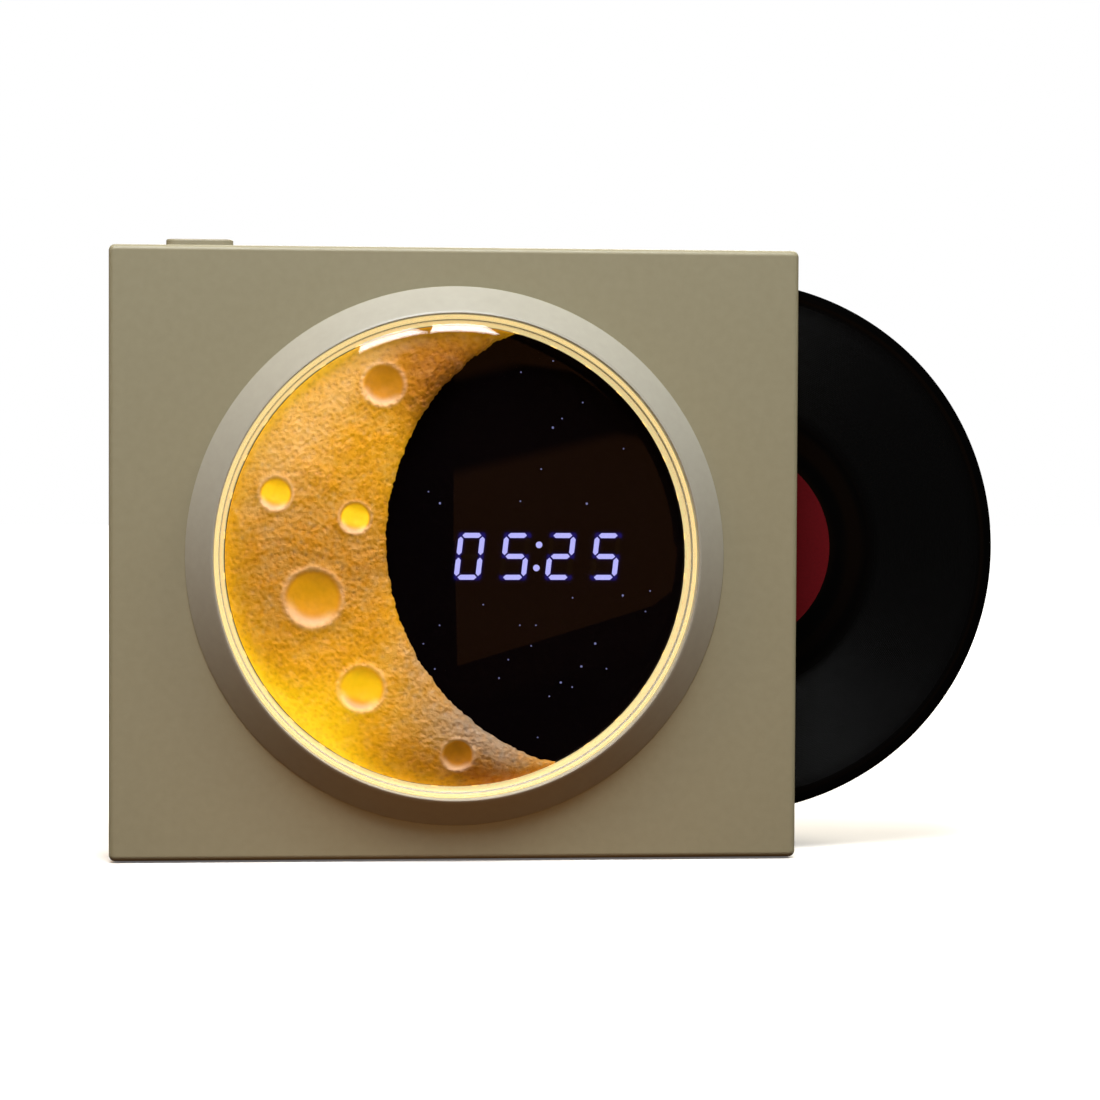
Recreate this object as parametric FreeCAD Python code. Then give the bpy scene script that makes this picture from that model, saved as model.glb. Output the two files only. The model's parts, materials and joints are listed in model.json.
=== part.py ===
import FreeCAD, Part
import math
import os

os.makedirs("parts", exist_ok=True)

# A desk clock shaped like a record sleeve: a thin box with a round lit dial that
# holds a crescent moon relief and a digital display, and a small record that
# slides in a slot in its right side. X runs to the right, Y runs from the front
# to the back, Z is up, and the origin lies on the table under the clock's middle.

# Record
record_radius = 87.5
record_thickness = 2.0
record_hole_radius = 3.63
record_edge_round = 0.5
label_radius = 33.2
label_thickness = 0.15
label_fit_gap = 0.05
record_inset = 18.8
record_rise = 2.3
record_side_clearance = 0.3
record_edge_clearance = 0.3

# Case
case_width = 220.0
case_depth = 36.0
case_wall = 2.5
case_corner_radius = 2.0
case_edge_radius = 1.8
record_margin = 9.5
case_top_rise = 1.4
foot_height = 0.6
slot_end_clearance = 1.0
parting_gap = 0.1
tongue_depth = 2.0
tongue_thickness = 1.2
tongue_gap = 0.15

# Feet
foot_inset = 14.0
foot_setback = 7.0
foot_joint_margin = 1.0
rear_foot_setback = 4.0

# Case screws and their posts
post_inset = 6.3
post_radius = 3.0
post_upper_inset = 70.0
post_joint_gap = 0.1
case_screw_radius = 1.1
case_screw_pilot_gap = 0.1
case_screw_hole_gap = 0.3
case_screw_length = 22.0
case_screw_head_radius = 2.3
case_screw_head_height = 1.5
case_screw_head_gap = 0.2
case_screw_sink = 0.3
drive_width = 0.6
drive_depth = 0.7
drive_reach_share = 0.6
case_screw_end_gap = 1.0

# Dial bezel
dial_margin = 11.0
bezel_slope_width = 9.0
bezel_height = 9.0
bezel_foot = 0.5
bezel_lip = 0.6
bezel_lip_round = 0.45
collar_wall = 3.8
collar_gap = 0.2

# Dial tray behind the front wall
tray_wall = 2.0
tray_depth = 4.0
tray_floor = 2.0
tray_flange_width = 4.0
tray_flange_thickness = 2.0
dial_screw_radius = 0.95
dial_screw_pilot_gap = 0.05
dial_screw_hole_gap = 0.2
dial_screw_bite = 4.0
dial_screw_end_gap = 0.5
dial_screw_head_radius = 1.9
dial_screw_head_height = 1.2
dial_screw_count = 6

# Lamps round the dial
ring_board_thickness = 1.2
ring_board_width = 14.0
ring_board_gap = 0.2
ring_lamp_count = 36
moon_lamp_count = 14
lamp_length = 2.0
lamp_width = 1.2
lamp_height = 0.8
moon_lamp_inset = 11.0
moon_lamp_first_angle = 115.0
moon_lamp_last_angle = 265.0

# Light ring
ring_fit_gap = 0.15
ring_width = 2.85
ring_front_recess = 4.7
ring_lamp_room = 1.5
ring_foot_width = 0.8
ring_step = 0.7
ring_step_width = 0.8

# Night panel and its carrier
panel_gap = 0.15
panel_thickness = 2.0
carrier_rise = 0.7
carrier_window_gap = 0.2
carrier_board_gap = 0.3
star_radius = 0.24
bright_star_radius = 0.36
star_gap = 0.03
bright_star_shares = [
    (0.42, 0.56), (-0.07, 0.23), (0.57, 0.23), (0.73, -0.17),
    (0.61, -0.38), (0.55, -0.48), (0.46, -0.55),
]
faint_star_shares = [
    (0.28, 0.80), (0.42, 0.85), (0.55, 0.67), (0.46, 0.60), (0.73, 0.47),
    (0.37, 0.38), (-0.12, 0.28), (0.28, 0.24), (0.51, -0.18), (0.12, -0.21),
    (-0.07, -0.30), (0.28, -0.30), (0.35, -0.30), (0.33, -0.39), (-0.14, -0.38),
    (-0.09, -0.49), (0.23, -0.45), (0.19, -0.53), (0.66, -0.49), (0.51, -0.57),
    (0.41, -0.61), (0.36, -0.79), (0.85, -0.15), (0.83, -0.24),
]

# Moon relief
moon_rim_gap = 0.4
moon_height = 8.5
moon_shoulder_height = 5.2
moon_shoulder_width = 4.0
moon_rim_height = 1.6
moon_edge_round = 1.5
moon_ledge = 3.0
moon_hollow_depth = 2.4
dome_mid_share = 0.75
probe_shares = [0.25, 0.5, 0.75]
bite_right_share = 0.715
bite_up_share = 0.072
bite_radius_share = 1.01
crater_depth_share = 0.34
# Each crater's place to the right and up, and its radius, in moon radii.
crater_shares = [
    (-0.320, 0.740, 0.088),
    (-0.780, 0.270, 0.070),
    (-0.440, 0.168, 0.066),
    (-0.620, -0.177, 0.121),
    (-0.410, -0.566, 0.097),
    (0.004, -0.856, 0.068),
]

# Clear dial cover
cover_gap = 0.15
cover_wall = 2.2
cover_crown = 1.3
cover_edge_round = 5.5
cover_headroom = 2.4
cover_skirt = 2.2
round_mid_share = 0.7071

# Digital display
digit_height = 15.0
digit_width = 8.5
digit_pitch = 14.6
digit_slant = 6.5
segment_width = 1.6
segment_end_gap = 0.4
segment_fit_gap = 0.04
display_ring_gap = 9.4
colon_radius = 1.05
colon_spacing = 7.4
display_side_margin = 4.0
display_end_margin = 4.0
display_window_gap = 0.2
segment_lamp_room = 0.6
segment_lamp_side = 0.8
segment_lamp_height = 0.5
digits_shown = "0525"
lit_bars = {"0": "abcdef", "2": "abdeg", "5": "acdfg"}

# Display board
board_thickness = 1.6
display_boss_height = 1.5
display_board_margin = 4.5
board_boss_radius = 2.2
board_screw_radius = 0.9
board_screw_gap = 0.2
board_pilot_gap = 0.05
board_screw_head_radius = 1.7
board_screw_head_height = 1.0
board_screw_clear_end = 0.2
board_boss_inset = 2.4

# Main board
main_board_width = 66.0
main_board_height = 34.0
main_board_left = 38.0
main_board_gap = 6.0
main_boss_height = 5.9
component_room = 4.7
processor_side = 9.0
processor_height = 1.2
coil_side = 6.0
coil_height = 2.6
capacitor_radius = 2.4
capacitor_height = 3.4
plug_length = 8.0
plug_width = 4.0
plug_height = 3.0
main_part_inset = 6.0
buzzer_radius = 5.0
buzzer_height = 3.6
buzzer_hole_radius = 1.0
buzzer_hole_depth = 1.2

# Record tray inside the case
tray_plate = 1.0
track_wall = 2.0
track_end_gap = 1.9
column_width = 50.9
tray_notch_width = 40.0
tray_notch_height = 8.0
tray_ear_inset = 5.0
tray_screw_radius = 0.95
tray_screw_end_gap = 1.0
rib_thickness = 1.5
rib_shares = [0.14, 0.5, 0.86]
tray_standoff_radius = 3.0

# Snooze button and its switch
snooze_length = 21.3
snooze_width = 7.0
snooze_inset = 28.3
snooze_forward = 5.0
snooze_proud = 2.4
snooze_edge_round = 0.6
snooze_travel = 0.8
snooze_gap = 0.2
snooze_flange_margin = 1.0
snooze_flange_thickness = 1.2
snooze_stop_gap = 0.3
snooze_stem_radius = 1.5
switch_side = 6.0
switch_height = 3.5
switch_well_gap = 0.25
switch_stem_reach = 0.2
switch_end_gap = 0.4
snooze_stem_drop = 3.0
snooze_board_length = 30.0
snooze_board_width = 12.0
snooze_shelf_thickness = 2.0
snooze_shelf_margin = 1.0

# Rear controls
control_inset = 26.0
control_board_width = 28.0
control_board_height = 56.0
control_board_bottom = 12.0
control_board_back_gap = 5.0
control_switch_height = 2.4
rear_button_radius = 3.4
rear_button_gap = 0.2
rear_button_proud = 0.8
rear_button_flange_margin = 1.2
rear_button_flange_thickness = 1.0
rear_button_stop_gap = 0.3
rear_button_travel = 0.6
rear_button_round = 0.4
rear_button_dish_depth = 0.3
rear_button_dish_margin = 0.9
rear_stem_radius = 1.4
rear_button_first = 25.0
rear_button_pitch = 12.0

# Power inlet, a small reversible socket on the back
inlet_width = 9.0
inlet_height = 3.3
inlet_shell = 0.3
inlet_recess = 0.4
inlet_gap = 0.2
inlet_rise = 11.0
inlet_tongue_width = 6.6
inlet_tongue_thickness = 0.7
inlet_tongue_depth = 5.0
inlet_back_thickness = 1.0

# Battery, a round lithium cell
cell_radius = 9.2
cell_length = 65.0
cell_cap_radius = 3.2
cell_cap_height = 1.0
cell_edge_round = 0.8
holder_wall = 1.6
holder_base = 2.0
holder_gap = 0.2
holder_board_gap = 3.0
holder_lip_share = 0.45

# Leads between the boards
lead_radius = 1.1
lead_bend = 5.0
lead_drop = 9.0
battery_lead_bend = 3.0
control_lead_drop = 30.0

# One overrun serves every cut.
over = 1.0

dial_half_space = record_radius + record_margin
case_height = 2 * dial_half_space + case_top_rise
case_bottom = foot_height
case_top = case_bottom + case_height
dial_middle = case_bottom + dial_half_space
side_outer = case_width / 2
side_inner = side_outer - case_wall
bottom_inner = case_bottom + case_wall
top_inner = case_top - case_wall
front_face = -case_depth / 2
back_face = case_depth / 2
front_inner = front_face + case_wall
back_inner = back_face - case_wall

bezel_base_radius = dial_half_space - dial_margin
bore_radius = bezel_base_radius - bezel_slope_width
collar_radius = bore_radius + collar_wall
bezel_front = front_face - bezel_height

tray_bore_radius = collar_radius + collar_gap
tray_outer_radius = tray_bore_radius + tray_wall
floor_front = front_inner + tray_depth
floor_rear = floor_front + tray_floor
ring_board_front = floor_front - ring_board_thickness
dial_screw_circle = (bore_radius + collar_radius) / 2

ring_outer_radius = bore_radius - ring_fit_gap
ring_inner_radius = ring_outer_radius - ring_width
ring_front = bezel_front + ring_front_recess
ring_rear = ring_board_front - ring_lamp_room

panel_radius = ring_inner_radius - panel_gap
panel_rear = ring_board_front - carrier_rise
panel_front = panel_rear - panel_thickness
moon_radius = ring_inner_radius - moon_rim_gap
bite_radius = bite_radius_share * moon_radius
bite_x = bite_right_share * moon_radius
bite_z = dial_middle + bite_up_share * moon_radius
moon_top = panel_front - moon_height

cover_radius = bore_radius - cover_gap
cover_inner_front = moon_top - cover_headroom
cover_edge_front = cover_inner_front - cover_wall
cover_inner_radius = cover_radius - cover_skirt

display_board_front = floor_rear + display_boss_height
display_board_rear = display_board_front + board_thickness
segment_rear = display_board_front - segment_lamp_room
display_half_length = ((len(digits_shown) - 1) / 2 * digit_pitch
                       + digit_width / 2 + display_end_margin)
display_half_height = digit_height / 2 + display_side_margin
ring_board_inner_radius = tray_bore_radius - ring_board_gap - ring_board_width
display_reach = math.sqrt(ring_board_inner_radius ** 2 - display_half_height ** 2)
display_right = display_reach - display_ring_gap - display_half_length

main_board_front = floor_rear + main_boss_height
main_board_rear = main_board_front + board_thickness
main_board_x = -main_board_left
main_board_z = (dial_middle - display_half_height - display_board_margin - main_board_gap
                - main_board_height / 2)

record_plane = (main_board_rear + component_room + tray_plate
                + record_side_clearance + record_thickness / 2)
record_x = side_outer - record_inset
record_z = dial_middle + record_rise
slot_half_width = record_thickness / 2 + record_side_clearance
slot_half_height = record_radius + slot_end_clearance
slot_front = record_plane - slot_half_width
slot_rear = record_plane + slot_half_width
track_radius = record_radius + record_edge_clearance
track_outer_radius = track_radius + track_wall
tray_left = -side_outer + column_width
stored_x = tray_left + track_outer_radius
tray_right = side_inner - track_end_gap
tray_bottom = record_z - track_outer_radius
tray_top = record_z + track_outer_radius
tray_plate_front = slot_front - tray_plate
tray_lid_rear = slot_rear + tray_plate

post_joint = record_plane - tongue_depth - post_joint_gap
post_places = [
    (-side_outer + post_inset, case_bottom + post_inset),
    (-side_outer + post_inset, case_top - post_inset),
    (0.0, case_bottom + post_inset),
    (side_outer - post_inset, case_bottom + post_inset),
    (-side_outer + post_upper_inset, case_top - post_inset),
]

snooze_x = -side_outer + snooze_inset
snooze_y = -snooze_forward
snooze_flange_top = top_inner - snooze_stop_gap
snooze_flange_bottom = snooze_flange_top - snooze_flange_thickness
snooze_stem_tip = snooze_flange_bottom - snooze_stem_drop
snooze_switch_top = snooze_stem_tip + switch_stem_reach
snooze_board_top = snooze_switch_top - switch_height
snooze_board_bottom = snooze_board_top - board_thickness

control_x = -side_outer + control_inset
control_board_rear = back_inner - control_board_back_gap
control_board_front = control_board_rear - board_thickness
control_board_low = case_bottom + control_board_bottom
control_board_high = control_board_low + control_board_height
control_board_right = control_x + control_board_width / 2
inlet_z = control_board_low + inlet_rise
control_switch_rear = control_board_rear + control_switch_height
rear_flange_rear = back_inner - rear_button_stop_gap
rear_flange_front = rear_flange_rear - rear_button_flange_thickness
rear_stem_tip = control_switch_rear - switch_stem_reach
rear_button_heights = [
    control_board_low + rear_button_first + index * rear_button_pitch for index in range(3)
]

cell_y = back_inner - holder_base - holder_gap - cell_radius
holder_low = control_board_high + holder_board_gap
cell_low = holder_low + holder_wall + holder_gap


def vector(x, y, z):
    return FreeCAD.Vector(x, y, z)


def export(node, *shapes):
    """Write a node's solids to its own file."""
    solids = [solid for shape in shapes for solid in shape.Solids]
    shape = solids[0] if len(solids) == 1 else Part.makeCompound(solids)
    shape.exportStep("parts/" + node + ".step")


def block(x_low, x_high, y_low, y_high, z_low, z_high):
    """Box between two values on each axis."""
    corner = vector(x_low, y_low, z_low)
    return Part.makeBox(x_high - x_low, y_high - y_low, z_high - z_low, corner)


def rod(radius, x, z, y_low, y_high):
    """Cylinder that runs from front to back."""
    return Part.makeCylinder(radius, y_high - y_low, vector(x, y_low, z), vector(0, 1, 0))


def post(radius, x, y, z_low, z_high):
    """Upright cylinder."""
    return Part.makeCylinder(radius, z_high - z_low, vector(x, y, z_low))


def turned(edges):
    """Solid turned about the dial's axis from edges given at (radius, y)."""
    wire = Part.Wire(edges)
    face = Part.Face(wire)
    return face.revolve(vector(0, 0, dial_middle), vector(0, 1, 0), 360)


def at(radius, y):
    """Point of a turned outline."""
    return vector(radius, y, dial_middle)


def line(start, end):
    return Part.LineSegment(start, end).toShape()


def arc(start, middle, end):
    return Part.Arc(start, middle, end).toShape()


def path(points):
    """Straight edges through the points."""
    return [line(start, end) for start, end in zip(points, points[1:])]


def plate(points, y_low, y_high):
    """Prism of an outline given as (x, z) pairs, from one depth to another."""
    corners = [vector(x, y_low, z) for x, z in points]
    outline = Part.makePolygon(corners + corners[:1])
    return Part.Face(outline).extrude(vector(0, y_high - y_low, 0))


def edges_where(shape, test):
    """Edges whose every end point passes a test."""
    return [edge for edge in shape.Edges if all(test(end.Point) for end in edge.Vertexes)]


def near(value, target):
    return abs(value - target) < over / 1000


def ring_places(count, radius, first=0.0, last=360.0):
    """Places on a circle about the dial's middle, with the angle of each."""
    step = (last - first) / count
    angles = [first + step * (index + 0.5) for index in range(count)]
    turns = [math.radians(angle) for angle in angles]
    return [
        (radius * math.cos(turn), dial_middle + radius * math.sin(turn), angle)
        for turn, angle in zip(turns, angles)
    ]


def case_half(y_face, y_joint):
    """Open box of one shell, its face at one depth and its open rim at the other."""
    y_low = min(y_face, y_joint)
    y_high = max(y_face, y_joint)
    solid = block(-side_outer, side_outer, y_low, y_high, case_bottom, case_top)
    corners = [edge for edge in solid.Edges if near(abs(edge.tangentAt(edge.FirstParameter).y), 1)]
    solid = solid.makeFillet(case_corner_radius, corners)
    rim = edges_where(solid, lambda point: near(point.y, y_face))
    solid = solid.makeFillet(case_edge_radius, rim)
    inward = case_wall if y_face < y_joint else -case_wall
    outward = over if y_face < y_joint else -over
    hollow_ends = sorted([y_face + inward, y_joint + outward])
    hollow = block(-side_inner, side_inner, *hollow_ends, bottom_inner, top_inner)
    return solid.cut(hollow)


def record_slot():
    """Space that the record passes through in the right wall."""
    return block(side_inner - over, side_outer + over, slot_front, slot_rear,
                 record_z - slot_half_height, record_z + slot_half_height)


def stadium(length, width, x, y, z_low, z_high):
    """Upright bar with round ends, its length along X."""
    radius = width / 2
    half = length / 2 - radius
    middle = block(x - half, x + half, y - radius, y + radius, z_low, z_high)
    left = post(radius, x - half, y, z_low, z_high)
    right = post(radius, x + half, y, z_low, z_high)
    return middle.fuse([left, right]).removeSplitter()


def board_bosses(places, boss_low, boss_high):
    """Round bosses that a board stands on."""
    return [rod(board_boss_radius, x, z, boss_low, boss_high) for x, z in places]


def board_pilots(places, low, high):
    """Holes that a board's screws bite in."""
    return [rod(board_screw_radius + board_pilot_gap, x, z, low, high) for x, z in places]


def board_holes(places, low, high):
    """Holes through a board for its screws."""
    return [rod(board_screw_radius + board_screw_gap, x, z, low - over, high + over)
            for x, z in places]


def corner_places(x_low, x_high, z_low, z_high, inset):
    """The four fixing places of a rectangular board."""
    return [(x, z) for x in (x_low + inset, x_high - inset) for z in (z_low + inset, z_high - inset)]


def cross_recess(x, z, y_face, radius, inward):
    """Cross-shaped drive recess in a screw's head."""
    ends = sorted([y_face - inward * over, y_face + inward * drive_depth])
    half = drive_width / 2
    reach = radius * drive_reach_share
    upright = block(x - half, x + half, *ends, z - reach, z + reach)
    level = block(x - reach, x + reach, *ends, z - half, z + half)
    return upright.fuse(level)


display_places = corner_places(
    display_right - display_half_length - display_board_margin,
    display_right + display_half_length + display_board_margin,
    dial_middle - display_half_height - display_board_margin,
    dial_middle + display_half_height + display_board_margin,
    board_boss_inset,
)
main_places = corner_places(
    main_board_x, main_board_x + main_board_width,
    main_board_z - main_board_height / 2, main_board_z + main_board_height / 2,
    board_boss_inset,
)
control_places = corner_places(
    control_x - control_board_width / 2, control_board_right,
    control_board_low, control_board_high,
    board_boss_inset,
)
snooze_board_places = [
    (snooze_x + side * (snooze_board_length / 2 - board_boss_inset), snooze_y)
    for side in (-1, 1)
]
tray_screw_places = [
    (tray_left + tray_ear_inset, tray_bottom + tray_ear_inset),
    (tray_left + tray_ear_inset, tray_top - tray_notch_height - tray_ear_inset),
]


def front_shell():
    """Front half of the case with the dial's opening, posts and the button's shelf."""
    joint = record_plane - parting_gap / 2
    shell = case_half(front_face, joint)
    posts = [rod(post_radius, x, z, front_inner - over, post_joint) for x, z in post_places]
    shelf = block(snooze_x - snooze_board_length / 2 - snooze_shelf_margin,
                  snooze_x + snooze_board_length / 2 + snooze_shelf_margin,
                  front_inner - over, snooze_y + snooze_board_width / 2,
                  snooze_board_bottom - snooze_shelf_thickness, snooze_board_bottom)
    shell = shell.fuse(posts + [shelf])
    depth = back_face - case_screw_sink - case_screw_head_height - case_screw_length
    pilots = [rod(case_screw_radius + case_screw_pilot_gap, x, z, depth - case_screw_end_gap,
                  post_joint + over)
              for x, z in post_places]
    shelf_pilots = [post(board_screw_radius + board_pilot_gap, x, y,
                         snooze_board_bottom - snooze_shelf_thickness - over,
                         snooze_board_bottom + over)
                    for x, y in snooze_board_places]
    dial_opening = rod(collar_radius + collar_gap, 0, dial_middle,
                       front_face - over, front_inner + over)
    button_opening = stadium(snooze_length + 2 * snooze_gap, snooze_width + 2 * snooze_gap,
                             snooze_x, snooze_y, top_inner - over, case_top + over)
    return shell.cut(pilots + shelf_pilots + [dial_opening, button_opening, record_slot()])


def back_tongue():
    """Thin tongue on the back cover that keys into the front shell."""
    low = record_plane - tongue_depth
    high = record_plane + parting_gap + over
    outer = block(-side_inner + tongue_gap, side_inner - tongue_gap, low, high,
                  bottom_inner + tongue_gap, top_inner - tongue_gap)
    inset = tongue_gap + tongue_thickness
    hollow = block(-side_inner + inset, side_inner - inset, low - over, high + over,
                   bottom_inner + inset, top_inner - inset)
    root = block(-side_inner + tongue_gap, side_inner - tongue_gap,
                 record_plane + parting_gap / 2, high,
                 bottom_inner + tongue_gap, top_inner - tongue_gap)
    collar = block(-side_inner - tongue_gap, side_inner + tongue_gap,
                   record_plane + parting_gap / 2, high,
                   bottom_inner - tongue_gap, top_inner + tongue_gap)
    gap = block(side_inner - inset - over, side_outer, low - over, high + over,
                record_z - slot_half_height - tongue_thickness,
                record_z + slot_half_height + tongue_thickness)
    ring = outer.cut(hollow)
    flange = collar.cut(hollow)
    return ring.fuse(flange.fuse(root.cut(hollow))).cut(gap)


def back_cover():
    """Back half of the case with its screw posts, ribs and openings."""
    joint = record_plane + parting_gap / 2
    shell = case_half(back_face, joint)
    posts = [rod(post_radius, x, z, post_joint + post_joint_gap, back_inner + over)
             for x, z in post_places]
    ribs = []
    for share in rib_shares:
        level = tray_bottom + share * (tray_top - tray_bottom)
        ribs.append(block(tray_left + tray_notch_width / 2, tray_right, tray_lid_rear,
                          back_inner + over, level - rib_thickness / 2, level + rib_thickness / 2))
    standoffs = [rod(tray_standoff_radius, x, z, tray_lid_rear, back_inner + over)
                 for x, z in tray_screw_places]
    bosses = board_bosses(control_places, control_board_rear, back_inner + over)
    shell = shell.fuse([back_tongue()] + posts + ribs + standoffs + bosses)
    head_floor = back_face - case_screw_sink - case_screw_head_height
    cuts = [record_slot()]
    for x, z in post_places:
        cuts.append(rod(case_screw_radius + case_screw_hole_gap, x, z, post_joint - over, back_face))
        cuts.append(rod(case_screw_head_radius + case_screw_head_gap, x, z,
                        head_floor, back_face + over))
    for z in rear_button_heights:
        cuts.append(rod(rear_button_radius + rear_button_gap, control_x, z,
                        back_inner - over, back_face + over))
    cuts.append(inlet_bar(inlet_gap, back_inner - over, back_face + over))
    cuts += board_pilots(control_places, control_board_rear - over, back_inner)
    cuts += [rod(tray_screw_radius + board_pilot_gap, x, z, tray_lid_rear - over, back_inner)
             for x, z in tray_screw_places]
    return shell.cut(cuts)


def dial_bezel():
    """Sloping ring round the dial, with the collar that reaches through the front wall."""
    lip = bore_radius + bezel_lip
    shoulder = bezel_front + bezel_lip_round
    outline = path([
        at(lip + bezel_lip_round, shoulder),
        at(bezel_base_radius, front_face - bezel_foot),
        at(bezel_base_radius, front_face),
        at(collar_radius, front_face),
        at(collar_radius, ring_board_front),
        at(bore_radius, ring_board_front),
        at(bore_radius, bezel_front),
        at(lip, bezel_front),
    ])
    middle = at(lip + bezel_lip_round * round_mid_share,
                bezel_front + bezel_lip_round * (1 - round_mid_share))
    rounding = arc(at(lip, bezel_front), middle, at(lip + bezel_lip_round, shoulder))
    ring = turned(outline + [rounding])
    holes = [rod(dial_screw_radius + dial_screw_pilot_gap, x, z,
                 ring_board_front - dial_screw_bite, ring_board_front + over)
             for x, z, angle in ring_places(dial_screw_count, dial_screw_circle)]
    return ring.cut(holes)


def dial_tray():
    """Shallow dish behind the front wall that carries the lamps, the display and the boards."""
    dish = rod(tray_outer_radius, 0, dial_middle, front_inner, floor_rear)
    flange = rod(tray_outer_radius + tray_flange_width, 0, dial_middle,
                 front_inner, front_inner + tray_flange_thickness)
    bosses = board_bosses(display_places, floor_rear - over, display_board_front)
    bosses += board_bosses(main_places, floor_rear - over, main_board_front)
    tray = dish.fuse([flange] + bosses)
    hollow = rod(tray_bore_radius, 0, dial_middle, front_inner - over, floor_front)
    screws = [rod(dial_screw_radius + dial_screw_hole_gap, x, z, floor_front - over, floor_rear + over)
              for x, z, angle in ring_places(dial_screw_count, dial_screw_circle)]
    window = display_block(display_window_gap, floor_front - over, floor_rear + over)
    pilots = board_pilots(display_places, floor_front, display_board_front + over)
    pilots += board_pilots(main_places, floor_front, main_board_front + over)
    return tray.cut([hollow, window] + screws + pilots)


def dial_screws():
    """Screws that clamp the tray, the lamp board and the bezel to the front wall."""
    screws = []
    for x, z, angle in ring_places(dial_screw_count, dial_screw_circle):
        shank = rod(dial_screw_radius, x, z, ring_board_front - dial_screw_bite + dial_screw_end_gap,
                    floor_rear)
        head = rod(dial_screw_head_radius, x, z, floor_rear, floor_rear + dial_screw_head_height)
        recess = cross_recess(x, z, floor_rear + dial_screw_head_height,
                              dial_screw_head_radius, -1)
        screws.append(shank.fuse(head).cut(recess))
    return screws


def ring_board():
    """Ring-shaped circuit board behind the light ring and the moon's rim."""
    board = rod(tray_bore_radius - ring_board_gap, 0, dial_middle, ring_board_front, floor_front)
    middle = rod(ring_board_inner_radius, 0, dial_middle, ring_board_front - over, floor_front + over)
    holes = [rod(dial_screw_radius + dial_screw_hole_gap, x, z,
                 ring_board_front - over, floor_front + over)
             for x, z, angle in ring_places(dial_screw_count, dial_screw_circle)]
    return board.cut([middle] + holes)


def lamps():
    """Small lamps on the ring board, under the light ring and behind the moon."""
    ring_circle = ring_inner_radius + (ring_width - ring_foot_width) / 2
    places = ring_places(ring_lamp_count, ring_circle)
    places += ring_places(moon_lamp_count, moon_radius - moon_lamp_inset / 2,
                          moon_lamp_first_angle, moon_lamp_last_angle)
    chips = []
    for x, z, angle in places:
        chip = block(-lamp_width / 2, lamp_width / 2, ring_board_front - lamp_height,
                     ring_board_front, -lamp_length / 2, lamp_length / 2)
        chip.rotate(vector(0, 0, 0), vector(0, -1, 0), angle)
        chip.translate(vector(x, 0, z))
        chips.append(chip)
    return chips


def light_ring():
    """Milky ring that shows round the dial and spreads the lamps' light."""
    foot = ring_outer_radius - ring_foot_width
    step = ring_outer_radius - ring_step_width
    return turned(path([
        at(ring_inner_radius, ring_front + ring_step),
        at(step, ring_front + ring_step),
        at(step, ring_front),
        at(ring_outer_radius, ring_front),
        at(ring_outer_radius, ring_board_front),
        at(foot, ring_board_front),
        at(foot, ring_rear),
        at(ring_inner_radius, ring_rear),
        at(ring_inner_radius, ring_front + ring_step),
    ]))


def crescent(inset, y_low, y_high):
    """Crescent prism, drawn in by an inset from the moon's outline."""
    disc = rod(moon_radius - inset, 0, dial_middle, y_low, y_high)
    bite = rod(bite_radius + inset, bite_x, bite_z, y_low - over, y_high + over)
    return disc.cut(bite)


def crater_bowl(right_share, up_share, radius_share):
    """Ball that cuts one crater's bowl into the moon's dome."""
    x = right_share * moon_radius
    z = dial_middle + up_share * moon_radius
    radius = radius_share * moon_radius
    depth = crater_depth_share * radius
    ball = (radius * radius + depth * depth) / (2 * depth)
    from_middle = math.hypot(right_share, up_share)
    surface = moon_surface(from_middle)
    tilt = dome_slope(from_middle)
    outward = vector(tilt * right_share / from_middle, -1, tilt * up_share / from_middle)
    outward.normalize()
    centre = vector(x, surface, z) + outward * (ball - depth)
    return Part.makeSphere(ball, centre)


def dome_fall():
    """How far the dome falls from its middle to its shoulder."""
    return moon_height - moon_shoulder_height


def moon_surface(from_middle):
    """Depth of the dome's front at a share of the moon's radius."""
    shoulder_share = 1 - moon_shoulder_width / moon_radius
    return moon_top + dome_fall() * (from_middle / shoulder_share) ** 2


def dome_slope(from_middle):
    """Slope of the dome's front at a share of the moon's radius."""
    shoulder_share = 1 - moon_shoulder_width / moon_radius
    return 2 * dome_fall() * from_middle / shoulder_share ** 2 / moon_radius


def moon_relief():
    """Domed crescent with crater bowls, hollow behind for the lamps' light."""
    shoulder = moon_radius - moon_shoulder_width
    shoulder_front = panel_front - moon_shoulder_height
    rim_front = panel_front - moon_rim_height
    dome = arc(at(0, moon_top),
               at(shoulder / 2, shoulder_front - dome_fall() * dome_mid_share),
               at(shoulder, shoulder_front))
    round_middle = at(shoulder + moon_shoulder_width * round_mid_share,
                      rim_front - (moon_shoulder_height - moon_rim_height) * round_mid_share)
    rounding = arc(at(shoulder, shoulder_front), round_middle, at(moon_radius, rim_front))
    sides = path([
        at(moon_radius, rim_front),
        at(moon_radius, panel_front),
        at(0, panel_front),
        at(0, moon_top),
    ])
    body = turned([dome, rounding] + sides)
    bite = rod(bite_radius, bite_x, bite_z, moon_top - over, panel_front + over)
    body = body.cut(bite)
    inner_edges = [edge for edge in body.Edges if on_bite(edge) and on_dome(edge)]
    body = body.makeFillet(moon_edge_round, inner_edges)
    craters = [crater_bowl(*shares) for shares in crater_shares]
    hollow = crescent(moon_ledge, panel_front - moon_hollow_depth, panel_front + over)
    return body.cut(craters + [hollow])


def on_bite(edge):
    """Whether an edge lies on the moon's inner wall."""
    points = [edge.valueAt(edge.FirstParameter + share * (edge.LastParameter - edge.FirstParameter))
              for share in probe_shares]
    reaches = [math.hypot(point.x - bite_x, point.z - bite_z) for point in points]
    return all(abs(reach - bite_radius) < moon_edge_round / 10 for reach in reaches)


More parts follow.
